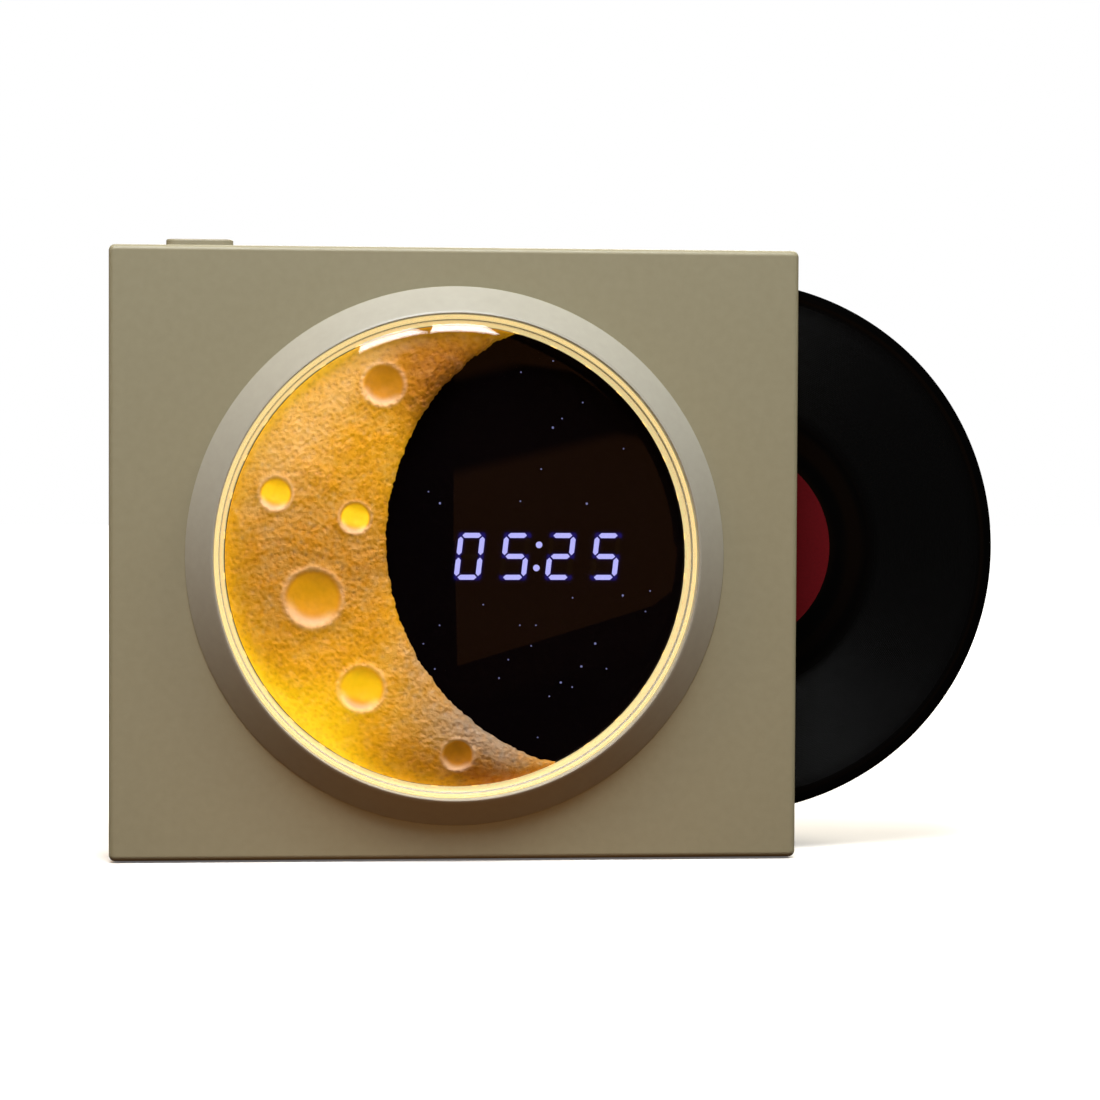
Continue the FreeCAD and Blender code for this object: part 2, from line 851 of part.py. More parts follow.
def on_dome(edge):
    """Whether an edge lies on the moon's domed front, clear of its shoulder."""
    middle = edge.valueAt((edge.FirstParameter + edge.LastParameter) / 2)
    from_middle = math.hypot(middle.x, middle.z - dial_middle)
    inside = from_middle < moon_radius - moon_shoulder_width
    return inside and middle.y < panel_front - moon_shoulder_height / 2


def star_places():
    """Each star's place and radius on the night panel."""
    places = [(share, bright_star_radius) for share in bright_star_shares]
    places += [(share, star_radius) for share in faint_star_shares]
    return [(right * moon_radius, dial_middle + up * moon_radius, radius)
            for (right, up), radius in places]


def bar_outline(start, end, margin):
    """Six-sided outline of one bar of a digit, pointed at both ends."""
    start_x, start_z = start
    end_x, end_z = end
    length = math.hypot(end_x - start_x, end_z - start_z)
    along_x = (end_x - start_x) / length
    along_z = (end_z - start_z) / length
    half = segment_width / 2
    ends = segment_end_gap - margin
    wide = half + margin
    stations = [
        (ends, 0), (ends + half, wide), (length - ends - half, wide),
        (length - ends, 0), (length - ends - half, -wide), (ends + half, -wide),
    ]
    return [(start_x + s * along_x - w * along_z, start_z + s * along_z + w * along_x)
            for s, w in stations]


def bar_ends():
    """Where each bar of a digit starts and ends, about the digit's middle."""
    right = (digit_width - segment_width) / 2
    top = (digit_height - segment_width) / 2
    return {
        "a": ((-right, top), (right, top)),
        "b": ((right, top), (right, 0)),
        "c": ((right, 0), (right, -top)),
        "d": ((-right, -top), (right, -top)),
        "e": ((-right, -top), (-right, 0)),
        "f": ((-right, 0), (-right, top)),
        "g": ((-right, 0), (right, 0)),
    }


def slanted(points, x):
    """Outline leaned to the right by the digits' slant, at a digit's place."""
    lean = math.tan(math.radians(digit_slant))
    return [(x + point_x + point_z * lean, dial_middle + point_z) for point_x, point_z in points]


def digit_bars(margin, y_low, y_high, chosen):
    """Bars of the four digits, those that are lit or those that are not."""
    bars = []
    for index, digit in enumerate(digits_shown):
        x = display_right + (index - (len(digits_shown) - 1) / 2) * digit_pitch
        for name, (start, end) in bar_ends().items():
            if chosen is None or chosen == (name in lit_bars[digit]):
                outline = slanted(bar_outline(start, end, margin), x)
                bars.append(plate(outline, y_low, y_high))
    return bars


def colon_places():
    """The colon's two dots, on the digits' slant."""
    lean = math.tan(math.radians(digit_slant))
    half = colon_spacing / 2
    return [(display_right + side * half * lean, dial_middle + side * half) for side in (-1, 1)]


def colon_rods(margin, y_low, y_high):
    return [rod(colon_radius + margin, x, z, y_low, y_high) for x, z in colon_places()]


def display_wells(y_low, y_high):
    """Wells that the digits' bars and the colon's dots stand in."""
    bars = digit_bars(segment_fit_gap, y_low, y_high, None)
    return bars + colon_rods(segment_fit_gap, y_low, y_high)


def display_block(margin, y_low, y_high):
    """Block round the whole display."""
    return block(display_right - display_half_length - margin,
                 display_right + display_half_length + margin,
                 y_low, y_high,
                 dial_middle - display_half_height - margin,
                 dial_middle + display_half_height + margin)


def night_panel():
    """Black panel behind the cover, open behind the moon and at each light."""
    panel = rod(panel_radius, 0, dial_middle, panel_front, panel_rear)
    window = crescent(moon_ledge, panel_front - over, panel_rear + over)
    cuts = [window] + display_wells(panel_front - over, panel_rear + over)
    cuts += [rod(radius + star_gap, x, z, panel_front - over, panel_rear + over)
             for x, z, radius in star_places()]
    return panel.cut(cuts)


def star_pins():
    """Fine clear pins that show as stars."""
    return [rod(radius, x, z, panel_front, panel_rear) for x, z, radius in star_places()]


def panel_carrier():
    """Moulded disc that holds the night panel off the lamp board."""
    inner = ring_board_inner_radius - carrier_board_gap
    rim = rod(panel_radius, 0, dial_middle, panel_rear, ring_board_front)
    plug = rod(inner, 0, dial_middle, panel_rear, floor_front)
    disc = rim.fuse(plug)
    window = crescent(moon_ledge, panel_rear - over, floor_front + over)
    opening = display_block(carrier_window_gap, panel_rear - over, floor_front + over)
    return disc.cut([window, opening])


def display_housing():
    """Block of light wells behind the digits."""
    body = display_block(0, panel_rear, display_board_front)
    return body.cut(display_wells(panel_rear - over, display_board_front + over))


def display_board():
    margin = display_board_margin
    board = display_block(margin, display_board_front, display_board_rear)
    return board.cut(board_holes(display_places, display_board_front, display_board_rear))


def display_lamps():
    """A lamp on the board behind every bar and dot of the display."""
    chips = []
    lean = math.tan(math.radians(digit_slant))
    half = segment_lamp_side / 2
    low = display_board_front - segment_lamp_height
    places = colon_places()
    for index in range(len(digits_shown)):
        middle = display_right + (index - (len(digits_shown) - 1) / 2) * digit_pitch
        for start, end in bar_ends().values():
            x = (start[0] + end[0]) / 2
            z = (start[1] + end[1]) / 2
            places.append((middle + x + z * lean, dial_middle + z))
    for x, z in places:
        chips.append(block(x - half, x + half, low, display_board_front, z - half, z + half))
    return chips


def dial_cover():
    """Clear domed cover with a rounded rim and a skirt that stands on the light ring."""
    outer_turn = cover_radius - cover_edge_round
    inner_round = cover_edge_round - cover_skirt
    inner_turn = cover_inner_radius - inner_round
    seat = ring_front + ring_step
    seat_radius = ring_outer_radius - ring_step_width - ring_fit_gap
    outside = domed(outer_turn, cover_edge_front, cover_edge_round)
    outside += path([
        at(cover_radius, cover_edge_front + cover_edge_round),
        at(cover_radius, ring_front),
        at(seat_radius, ring_front),
        at(seat_radius, seat),
        at(0, seat),
        at(0, cover_edge_front - cover_crown),
    ])
    inside = domed(inner_turn, cover_inner_front, inner_round)
    inside += path([
        at(cover_inner_radius, cover_inner_front + inner_round),
        at(cover_inner_radius, seat + over),
        at(0, seat + over),
        at(0, cover_inner_front - cover_crown),
    ])
    return turned(outside).cut(turned(inside))


def domed(turn, front, rounding):
    """Crown from the axis out to a rounded rim that turns back."""
    crown = arc(at(0, front - cover_crown),
                at(turn / 2, front - cover_crown * dome_mid_share),
                at(turn, front))
    rim = arc(at(turn, front),
              at(turn + rounding * round_mid_share, front + rounding * (1 - round_mid_share)),
              at(turn + rounding, front + rounding))
    return [crown, rim]


def main_board():
    board = block(main_board_x, main_board_x + main_board_width, main_board_front, main_board_rear,
                  main_board_z - main_board_height / 2, main_board_z + main_board_height / 2)
    return board.cut(board_holes(main_places, main_board_front, main_board_rear))


def main_board_parts():
    """Processor, coil, capacitors and lead plugs on the main board."""
    rear = main_board_rear
    left = main_board_x + main_part_inset
    low = main_board_z - main_board_height / 2 + main_part_inset
    high = main_board_z + main_board_height / 2 - main_part_inset
    middle = main_board_x + main_board_width / 2
    processor = block(middle - processor_side / 2, middle + processor_side / 2, rear,
                      rear + processor_height,
                      main_board_z - processor_side / 2, main_board_z + processor_side / 2)
    coil = block(middle - processor_side - coil_side, middle - processor_side, rear,
                 rear + coil_height, low, low + coil_side)
    capacitors = [rod(capacitor_radius, middle - processor_side - index * processor_side, high,
                      rear, rear + capacitor_height) for index in range(2)]
    return [processor, coil] + capacitors + lead_plugs(left)


def lead_plugs(left):
    """Plugs at the main board's left edge that the leads go into."""
    plugs = []
    for level in main_plug_levels():
        plugs.append(block(left, left + plug_length, main_board_rear,
                           main_board_rear + plug_height,
                           level - plug_width / 2, level + plug_width / 2))
    return plugs


def main_plug_levels():
    """Heights of the plugs for the control board's and the button's leads."""
    return [main_board_z - plug_width, main_board_z + plug_width]


def alarm_buzzer():
    """Round sounder with a small sound hole."""
    x = main_board_x + main_board_width - main_part_inset - buzzer_radius
    top = main_board_rear + buzzer_height
    body = rod(buzzer_radius, x, main_board_z, main_board_rear, top)
    hole = rod(buzzer_hole_radius, x, main_board_z, top - buzzer_hole_depth, top + over)
    return body.cut(hole)


def track_space(y_low, y_high):
    """Space that the record sweeps inside the tray, round at its inner end."""
    end = rod(track_radius, stored_x, record_z, y_low, y_high)
    run = block(stored_x, tray_right + over, y_low, y_high,
                record_z - track_radius, record_z + track_radius)
    return run.fuse(end)


def tray_sheet(y_low, y_high):
    """Outline of the record tray, notched for the upper case post, as a sheet."""
    sheet = block(tray_left, tray_right, y_low, y_high, tray_bottom, tray_top)
    notch = block(tray_left - over, tray_left + tray_notch_width, y_low - over, y_high + over,
                  tray_top - tray_notch_height, tray_top + over)
    holes = [rod(tray_screw_radius + board_screw_gap, x, z, y_low - over, y_high + over)
             for x, z in tray_screw_places]
    return sheet.cut([notch] + holes)


def record_tray():
    """Flat tray with a round inner stop, which the record slides in."""
    body = tray_sheet(tray_plate_front, slot_rear)
    return body.cut(track_space(slot_front, slot_rear + over))


def record_tray_lid():
    return tray_sheet(slot_rear, tray_lid_rear)


def tray_screws():
    """Screws that hold the tray and its lid to the back cover's standoffs."""
    screws = []
    for x, z in tray_screw_places:
        shank = rod(tray_screw_radius, x, z, tray_plate_front, back_inner - tray_screw_end_gap)
        head = rod(board_screw_head_radius, x, z,
                   tray_plate_front - board_screw_head_height, tray_plate_front)
        recess = cross_recess(x, z, tray_plate_front - board_screw_head_height,
                              board_screw_head_radius, 1)
        screws.append(shank.fuse(head).cut(recess))
    return screws


def record_disc():
    """Vinyl disc with a spindle hole and a shallow seat for each label."""
    low = record_plane - record_thickness / 2
    high = record_plane + record_thickness / 2
    disc = rod(record_radius, record_x, record_z, low, high)
    rims = [edge for edge in disc.Edges if len(edge.Vertexes) == 1]
    disc = disc.makeFillet(record_edge_round, rims)
    hole = rod(record_hole_radius, record_x, record_z, low - over, high + over)
    seat_radius = label_radius + label_fit_gap
    front_seat = rod(seat_radius, record_x, record_z, low - over, low + label_thickness)
    rear_seat = rod(seat_radius, record_x, record_z, high - label_thickness, high + over)
    return disc.cut([hole, front_seat, rear_seat])


def record_label(y_low):
    """Paper label, flush with the disc's face."""
    label = rod(label_radius, record_x, record_z, y_low, y_low + label_thickness)
    hole = rod(record_hole_radius, record_x, record_z, y_low - over, y_low + label_thickness + over)
    return label.cut(hole)


def snooze_button():
    """Long push button on top, with a retaining flange and a stem."""
    cap = stadium(snooze_length, snooze_width, snooze_x, snooze_y,
                  snooze_flange_top, case_top + snooze_proud)
    top_edges = edges_where(cap, lambda point: near(point.z, case_top + snooze_proud))
    cap = cap.makeFillet(snooze_edge_round, top_edges)
    flange = stadium(snooze_length + 2 * snooze_flange_margin,
                     snooze_width + 2 * snooze_flange_margin,
                     snooze_x, snooze_y, snooze_flange_bottom, snooze_flange_top)
    stem = post(snooze_stem_radius, snooze_x, snooze_y, snooze_stem_tip, snooze_flange_bottom)
    return cap.fuse([flange, stem])


def snooze_switch():
    """Push switch whose well takes the button's stem."""
    half = switch_side / 2
    body = block(snooze_x - half, snooze_x + half, snooze_y - half, snooze_y + half,
                 snooze_board_top, snooze_switch_top)
    floor = snooze_stem_tip - snooze_travel - switch_end_gap
    well = post(snooze_stem_radius + switch_well_gap, snooze_x, snooze_y,
                floor, snooze_switch_top + over)
    return body.cut(well)


def snooze_board():
    board = block(snooze_x - snooze_board_length / 2, snooze_x + snooze_board_length / 2,
                  snooze_y - snooze_board_width / 2, snooze_y + snooze_board_width / 2,
                  snooze_board_bottom, snooze_board_top)
    holes = [post(board_screw_radius + board_screw_gap, x, y,
                  snooze_board_bottom - over, snooze_board_top + over)
             for x, y in snooze_board_places]
    return board.cut(holes)


def rear_button(z):
    """Round push button in the back, with a dished face, a flange and a stem."""
    face = back_face + rear_button_proud
    cap = rod(rear_button_radius, control_x, z, rear_flange_rear, face)
    rim = edges_where(cap, lambda point: near(point.y, face))
    cap = cap.makeFillet(rear_button_round, rim)
    flange = rod(rear_button_radius + rear_button_flange_margin, control_x, z,
                 rear_flange_front, rear_flange_rear)
    stem = rod(rear_stem_radius, control_x, z, rear_stem_tip, rear_flange_front)
    dish_radius = rear_button_radius - rear_button_dish_margin
    depth = rear_button_dish_depth
    ball = (dish_radius * dish_radius + depth * depth) / (2 * depth)
    dish = Part.makeSphere(ball, vector(control_x, face - depth + ball, z))
    return cap.fuse([flange, stem]).cut(dish)


def control_switches():
    """Push switches behind the rear buttons."""
    half = switch_side / 2
    floor = rear_stem_tip - rear_button_travel - switch_end_gap
    switches = []
    for z in rear_button_heights:
        body = block(control_x - half, control_x + half, control_board_rear, control_switch_rear,
                     z - half, z + half)
        well = rod(rear_stem_radius + switch_well_gap, control_x, z,
                   floor, control_switch_rear + over)
        switches.append(body.cut(well))
    return switches


def control_board():
    board = block(control_x - control_board_width / 2, control_board_right,
                  control_board_front, control_board_rear, control_board_low, control_board_high)
    return board.cut(board_holes(control_places, control_board_front, control_board_rear))


def inlet_bar(margin, y_low, y_high):
    """Bar with round ends, the outline of the power inlet."""
    radius = inlet_height / 2 + margin
    half = (inlet_width - inlet_height) / 2
    middle = block(control_x - half, control_x + half, y_low, y_high,
                   inlet_z - radius, inlet_z + radius)
    ends = [rod(radius, control_x + side * half, inlet_z, y_low, y_high) for side in (-1, 1)]
    return middle.fuse(ends)


def power_inlet():
    """Metal socket with a contact tongue in its mouth."""
    mouth = back_face - inlet_recess
    shell = inlet_bar(0, control_board_rear, mouth)
    hollow = inlet_bar(-inlet_shell, control_board_rear + inlet_back_thickness, mouth + over)
    return shell.cut(hollow)


def inlet_tongue():
    """Contact tongue that stands on the socket's inner wall."""
    low = control_board_rear + inlet_back_thickness
    return block(control_x - inlet_tongue_width / 2, control_x + inlet_tongue_width / 2,
                 low, low + inlet_tongue_depth,
                 inlet_z - inlet_tongue_thickness / 2, inlet_z + inlet_tongue_thickness / 2)


def battery_cell():
    """Round cell with its raised contact cap."""
    body = post(cell_radius, control_x, cell_y, cell_low, cell_low + cell_length)
    rims = [edge for edge in body.Edges if len(edge.Vertexes) == 1]
    body = body.makeFillet(cell_edge_round, rims)
    top = cell_low + cell_length
    cap = post(cell_cap_radius, control_x, cell_y, top - over, top + cell_cap_height)
    return body.fuse(cap)


def battery_holder():
    """Open cradle on the back cover that holds the cell by its ends and sides."""
    high = cell_low + cell_length + cell_cap_height + holder_gap + holder_wall
    half = cell_radius + holder_gap + holder_wall
    front = cell_y - cell_radius * holder_lip_share
    outer = block(control_x - half, control_x + half, front, back_inner, holder_low, high)
    inner = block(control_x - half + holder_wall, control_x + half - holder_wall,
                  front - over, back_inner - holder_base,
                  holder_low + holder_wall, high - holder_wall)
    return outer.cut(inner)


def lead(points, bend):
    """Round lead on straight runs joined by arcs that meet them smoothly."""
    edges = []
    start = points[0]
    for corner, after in zip(points[1:-1], points[2:]):
        before = (start - corner).normalize()
        beyond = (after - corner).normalize()
        half_turn = (math.pi - before.getAngle(beyond)) / 2
        tangent = bend * math.tan(half_turn)
        leave = corner + before * tangent
        join = corner + beyond * tangent
        inward = (before + beyond).normalize()
        middle = corner + inward * (bend / math.cos(half_turn) - bend)
        edges.append(line(start, leave))
        edges.append(arc(leave, middle, join))
        start = join
    edges.append(line(start, points[-1]))
    route = Part.Wire(edges)
    direction = points[1] - points[0]
    section = Part.Wire([Part.makeCircle(lead_radius, points[0], direction)])
    tube = route.makePipeShell([section], True, False)
    expected = math.pi * lead_radius ** 2 * route.Length
    print("lead length %.1f, volume share %.4f" % (route.Length, tube.Volume / expected))
    return tube


def battery_lead():
    """Lead from the battery holder down to the control board."""
    x = control_x
    y = control_board_front - lead_radius - battery_lead_bend
    start = vector(x, y, holder_low)
    turn = vector(x, y, control_board_high - lead_drop)
    return lead([start, turn, vector(x, control_board_front, control_board_high - lead_drop)],
                battery_lead_bend)


def control_lead():
    """Lead from the control board to the main board."""
    level = main_plug_levels()[0]
    x = control_board_right - lead_drop
    y = main_board_rear + plug_height / 2
    z = control_board_high - control_lead_drop
    start = vector(x, control_board_front, z)
    return lead([start, vector(x, y, z), vector(main_board_x, y, level),
                 vector(main_board_x + main_part_inset, y, level)], lead_bend)


def snooze_lead():
    """Lead from the button's board down to the main board."""
    level = main_plug_levels()[1]
    x = control_board_right
    y = main_board_rear + plug_height / 2
    top = snooze_board_bottom - snooze_shelf_thickness
    start = vector(x, y, top)
    return lead([start, vector(x, y, level),
                 vector(main_board_x + main_part_inset, y, level)], lead_bend)


def board_screws():
    """Screws of every circuit board, heads on the board's free side."""
    screws = []
    rear_boards = [(place, display_board_rear, display_board_front) for place in display_places]
    rear_boards += [(place, main_board_rear, main_board_front) for place in main_places]
    for (x, z), face, under in rear_boards:
        shank = rod(board_screw_radius, x, z, floor_front + board_screw_clear_end, face)
        head = rod(board_screw_head_radius, x, z, face, face + board_screw_head_height)
        recess = cross_recess(x, z, face + board_screw_head_height, board_screw_head_radius, -1)
        screws.append(shank.fuse(head).cut(recess))
    for x, z in control_places:
        shank = rod(board_screw_radius, x, z, control_board_front,
                    back_inner - board_screw_clear_end)
        head = rod(board_screw_head_radius, x, z,
                   control_board_front - board_screw_head_height, control_board_front)
        recess = cross_recess(x, z, control_board_front - board_screw_head_height,
                              board_screw_head_radius, 1)
        screws.append(shank.fuse(head).cut(recess))
    for x, y in snooze_board_places:
        shank = post(board_screw_radius, x, y,
                     snooze_board_bottom - snooze_shelf_thickness + board_screw_clear_end,
                     snooze_board_top)
        head = post(board_screw_head_radius, x, y,
                    snooze_board_top, snooze_board_top + board_screw_head_height)
        screws.append(shank.fuse(head))
    return screws


def case_screws():
    """Screws from the back that hold the two shells together."""
    screws = []
    head_floor = back_face - case_screw_sink - case_screw_head_height
    for x, z in post_places:
        shank = rod(case_screw_radius, x, z, head_floor - case_screw_length, head_floor)
        head = rod(case_screw_head_radius, x, z, head_floor, head_floor + case_screw_head_height)
        recess = cross_recess(x, z, head_floor + case_screw_head_height,
                              case_screw_head_radius, -1)
        screws.append(shank.fuse(head).cut(recess))
    return screws


def foot_strip(y_low, y_high):
    """Flat rubber strip under the case."""
    return block(-side_outer + foot_inset, side_outer - foot_inset, y_low, y_high, 0, foot_height)


export("front_shell", front_shell())
export("back_cover", back_cover())
export("case_screws", *case_screws())
export("front_foot", foot_strip(front_face + foot_setback, record_plane - foot_joint_margin))
export("rear_foot", foot_strip(record_plane + foot_joint_margin, back_face - rear_foot_setback))
export("dial_bezel", dial_bezel())
export("dial_cover", dial_cover())
export("light_ring", light_ring())
export("lamp_ring_board", ring_board())
export("lamp_chips", *lamps())
export("dial_tray", dial_tray())
export("dial_screws", *dial_screws())
export("moon_relief", moon_relief())
export("night_panel", night_panel())
export("panel_carrier", panel_carrier())
export("star_pins", *star_pins())
export("lit_segments", *digit_bars(0, panel_front, segment_rear, True))
export("unlit_segments", *digit_bars(0, panel_front, segment_rear, False))
export("colon_dots", *colon_rods(0, panel_front, segment_rear))
export("display_housing", display_housing())
export("display_board", display_board())
export("display_lamps", *display_lamps())
export("main_board", main_board())
export("main_board_parts", *main_board_parts())
export("alarm_buzzer", alarm_buzzer())
export("board_screws", *board_screws())
export("record_tray", record_tray())
export("record_tray_lid", record_tray_lid())
export("tray_screws", *tray_screws())
export("record_disc", record_disc())
export("record_label_front", record_label(record_plane - record_thickness / 2))
export("record_label_back", record_label(record_plane + record_thickness / 2 - label_thickness))
export("snooze_button", snooze_button())
export("snooze_switch", snooze_switch())
export("snooze_board", snooze_board())
export("snooze_lead", snooze_lead())
for name, height in zip(("down_button", "up_button", "mode_button"), rear_button_heights):
    export(name, rear_button(height))
export("control_switches", *control_switches())
export("control_board", control_board())
export("control_lead", control_lead())
export("power_inlet", power_inlet())
export("inlet_tongue", inlet_tongue())
export("battery_cell", battery_cell())
export("battery_holder", battery_holder())
export("battery_lead", battery_lead())
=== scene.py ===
"""Looks of a moon phase desk clock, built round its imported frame."""
import json
import logging
import math
from dataclasses import dataclass, field
from enum import Enum
from typing import Callable, Optional, Sequence

import bmesh
import bpy
import numpy as np
from bpy.types import Material, Node, NodeTree, Object
from mathutils import Matrix, Vector, noise

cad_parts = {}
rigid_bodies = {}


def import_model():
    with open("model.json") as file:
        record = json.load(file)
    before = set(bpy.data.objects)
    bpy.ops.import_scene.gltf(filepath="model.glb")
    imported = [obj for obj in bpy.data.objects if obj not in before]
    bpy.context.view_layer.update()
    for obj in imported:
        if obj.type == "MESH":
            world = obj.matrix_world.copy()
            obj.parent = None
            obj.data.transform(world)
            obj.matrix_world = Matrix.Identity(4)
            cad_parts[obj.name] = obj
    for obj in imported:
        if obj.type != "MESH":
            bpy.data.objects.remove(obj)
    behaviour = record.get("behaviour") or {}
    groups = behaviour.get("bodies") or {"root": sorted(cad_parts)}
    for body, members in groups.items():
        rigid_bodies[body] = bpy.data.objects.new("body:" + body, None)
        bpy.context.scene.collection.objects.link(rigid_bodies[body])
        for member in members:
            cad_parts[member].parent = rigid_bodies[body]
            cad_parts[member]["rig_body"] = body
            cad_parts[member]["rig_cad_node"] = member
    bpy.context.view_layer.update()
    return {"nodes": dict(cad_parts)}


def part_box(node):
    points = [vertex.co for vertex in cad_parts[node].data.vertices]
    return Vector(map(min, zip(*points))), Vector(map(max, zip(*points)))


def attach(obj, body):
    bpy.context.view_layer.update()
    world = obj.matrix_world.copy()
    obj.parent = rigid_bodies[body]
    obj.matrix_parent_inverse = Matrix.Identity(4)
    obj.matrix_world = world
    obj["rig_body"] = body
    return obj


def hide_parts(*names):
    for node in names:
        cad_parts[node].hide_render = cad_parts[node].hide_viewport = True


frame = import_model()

MM = 0.001
LOG = logging.getLogger("clock")
Array = np.ndarray
Point = tuple[float, float]
Place = tuple[float, float, float]
Colour = tuple[float, float, float, float]
Stops = tuple[tuple[float, Colour], ...]
Socket = str | int
Output = tuple[Node, Socket]

# Sizes that several pieces share, in millimetres.
DIAL_X = 0.0
DIAL_Z = 97.6
PANEL_FRONT = -15.4
PANEL_BACK = -13.4
PANEL_INSET = 0.03
MOON_RADIUS = 74.0
TURN_STEPS = 288
BITE_X = 52.6
BITE_Z = 102.9
BITE_RADIUS = 74.34
DIGIT_CENTRES = (4.45, 19.05, 33.65, 48.25)
DIGITS = "0525"

# Plain linear colours.
BLACK = (0.0, 0.0, 0.0, 1.0)
WHITE = (1.0, 1.0, 1.0, 1.0)
ROOM_BROWN = (0.075, 0.028, 0.006, 1.0)


class Body(Enum):
    """Moving bodies of the frame."""

    CASE = "case"
    RECORD = "record"
    SNOOZE = "snooze"
    DOWN = "down"
    UP = "up"
    MODE = "mode"


def linear(code: str) -> Colour:
    """Turns an sRGB hex colour to a linear one.

    Args:
        code: Six hex digits.

    Returns:
        Linear red, green, blue and alpha.
    """
    parts = [int(code[i:i + 2], 16) / 255 for i in (0, 2, 4)]
    lin = [p / 12.92 if p <= 0.04045 else ((p + 0.055) / 1.055) ** 2.4 for p in parts]
    return (lin[0], lin[1], lin[2], 1.0)


class Nodes:
    """A node tree with one helper that adds its nodes."""

    def __init__(self, tree: NodeTree) -> None:
        """Empties the tree."""
        self.tree = tree
        self.tree.nodes.clear()

    def add(self, kind: str, links: Optional[dict[Socket, Output]] = None,
            values: Optional[dict[Socket, object]] = None, stops: Stops = (), **settings: object) -> Node:
        """Adds a node.

        Args:
            kind: Node type without its ShaderNode prefix.
            links: Input name or number to a (node, output) pair.
            values: Input name or number to a constant.
            stops: Positions and linear colours of a colour ramp.
            settings: Properties of the node.

        Returns:
            The new node.
        """
        node = self.tree.nodes.new("ShaderNode" + kind)
        for key, value in settings.items():
            setattr(node, key, value)
        for key, value in (values or {}).items():
            node.inputs[key].default_value = value
        for key, (source, out) in (links or {}).items():
            self.tree.links.new(source.outputs[out], node.inputs[key])
        if stops:
            elements = node.color_ramp.elements
            elements.remove(elements[-1])
            elements[0].position, elements[0].color = stops[0]
            for position, colour in stops[1:]:
                elements.new(position).color = colour
        return node

    def link(self, source: Output, target: Node, into: Socket) -> None:
        """Links a node's output to another node's input."""
        self.tree.links.new(source[0].outputs[source[1]], target.inputs[into])

    def by_ray(self, fill: Node, mirrored: Node, seen: Node) -> Output:
        """Chooses a shader by the ray that meets it.

        Args:
            fill: Shader for rays that only light things.
            mirrored: Shader for rays that a mirror or clear piece sends on.
            seen: Shader for the camera's own rays.

        Returns:
            The mix of the three.
        """
        path = self.add("LightPath")
        bounced = self.add("Math", {0: (path, "Is Glossy Ray"), 1: (path, "Is Transmission Ray")},
                           operation="MAXIMUM")
        inner = self.add("MixShader", {0: (bounced, "Value"), 1: (fill, 0), 2: (mirrored, 0)})
        return self.add("MixShader", {0: (path, "Is Camera Ray"), 1: (inner, 0), 2: (seen, 0)}), 0


class Finish(Nodes):
    """A material with a Principled shader."""

    def __init__(self, name: str, colour: str, roughness: float, **sockets: float | Colour) -> None:
        """Starts a material.

        Args:
            name: Name of the material.
            colour: sRGB hex base colour.
            roughness: Roughness of the surface.
            sockets: Other constant sockets, with spaces written as underscores.
        """
        self.material = bpy.data.materials.new(name)
        self.material.use_nodes = True
        super().__init__(self.material.node_tree)
        constants = {socket.replace("_", " "): value for socket, value in sockets.items()}
        self.shader = self.add(
            "BsdfPrincipled", values={"Base Color": linear(colour), "Roughness": roughness, **constants})
        self.output = self.add("OutputMaterial", {"Surface": (self.shader, "BSDF")})
        self.place = (self.add("TexCoord"), "Object")

    def speckle(self, size_mm: float, low: str, high: str) -> None:
        """Varies the base colour a little, as pigment does in a moulding.

        Args:
            size_mm: Size of a speck in millimetres.
            low: Darker sRGB hex colour.
            high: Lighter sRGB hex colour.
        """
        specks = self.add("TexNoise", {"Vector": self.place}, {"Scale": 1.0 / (size_mm * MM), "Detail": 4.0})
        ramp = self.add("ValToRGB", {"Fac": (specks, "Fac")}, stops=((0.3, linear(low)), (0.7, linear(high))))
        self.link((ramp, "Color"), self.shader, "Base Color")

    def varied_roughness(self, size_mm: float, low: float, high: float) -> None:
        """Varies the roughness between two values.

        Args:
            size_mm: Size of a patch in millimetres.
            low: Lowest roughness.
            high: Highest roughness.
        """
        patches = self.add("TexNoise", {"Vector": self.place}, {"Scale": 1.0 / (size_mm * MM), "Detail": 2.0})
        span = self.add("MapRange", {"Value": (patches, "Fac")},
                        {"From Min": 0.3, "From Max": 0.7, "To Min": low, "To Max": high})
        self.link((span, "Result"), self.shader, "Roughness")

    def raised_grain(self, size_mm: float, depth_mm: float) -> None:
        """Raises fine grains on the surface.

        Args:
            size_mm: Size of one grain in millimetres.
            depth_mm: Its height in millimetres.
        """
        grain = self.add("TexNoise", {"Vector": self.place}, {"Scale": 1.0 / (size_mm * MM), "Detail": 3.0})
        bump = self.add("Bump", {"Height": (grain, "Fac")}, {"Distance": depth_mm * MM})
        self.link((bump, "Normal"), self.shader, "Normal")


@dataclass(frozen=True)
class MouldedPlastic:
    """Injection-moulded ABS with the fine spark-eroded grain of its mould: satin, never mirror-like."""

    name: str
    colour: str
    darker: str
    roughness: float = 0.42
    grain_mm: float = 0.45
    depth_mm: float = 0.012

    def make(self) -> Material:
        """Builds the material.

        Returns:
            The material.
        """
        finish = Finish(self.name, self.colour, self.roughness, IOR=1.5)
        finish.speckle(3.0, self.darker, self.colour)
        finish.varied_roughness(14.0, self.roughness - 0.03, self.roughness + 0.05)
        finish.raised_grain(self.grain_mm, self.depth_mm)
        return finish.material


@dataclass(frozen=True)
class Rubber:
    """Moulded elastomer, dull and even."""

    name: str
    colour: str
    roughness: float = 0.75

    def make(self) -> Material:
        """Builds the material.

        Returns:
            The material.
        """
        finish = Finish(self.name, self.colour, self.roughness, IOR=1.5)
        finish.varied_roughness(4.0, self.roughness - 0.08, self.roughness + 0.08)
        finish.raised_grain(0.6, 0.02)
        return finish.material


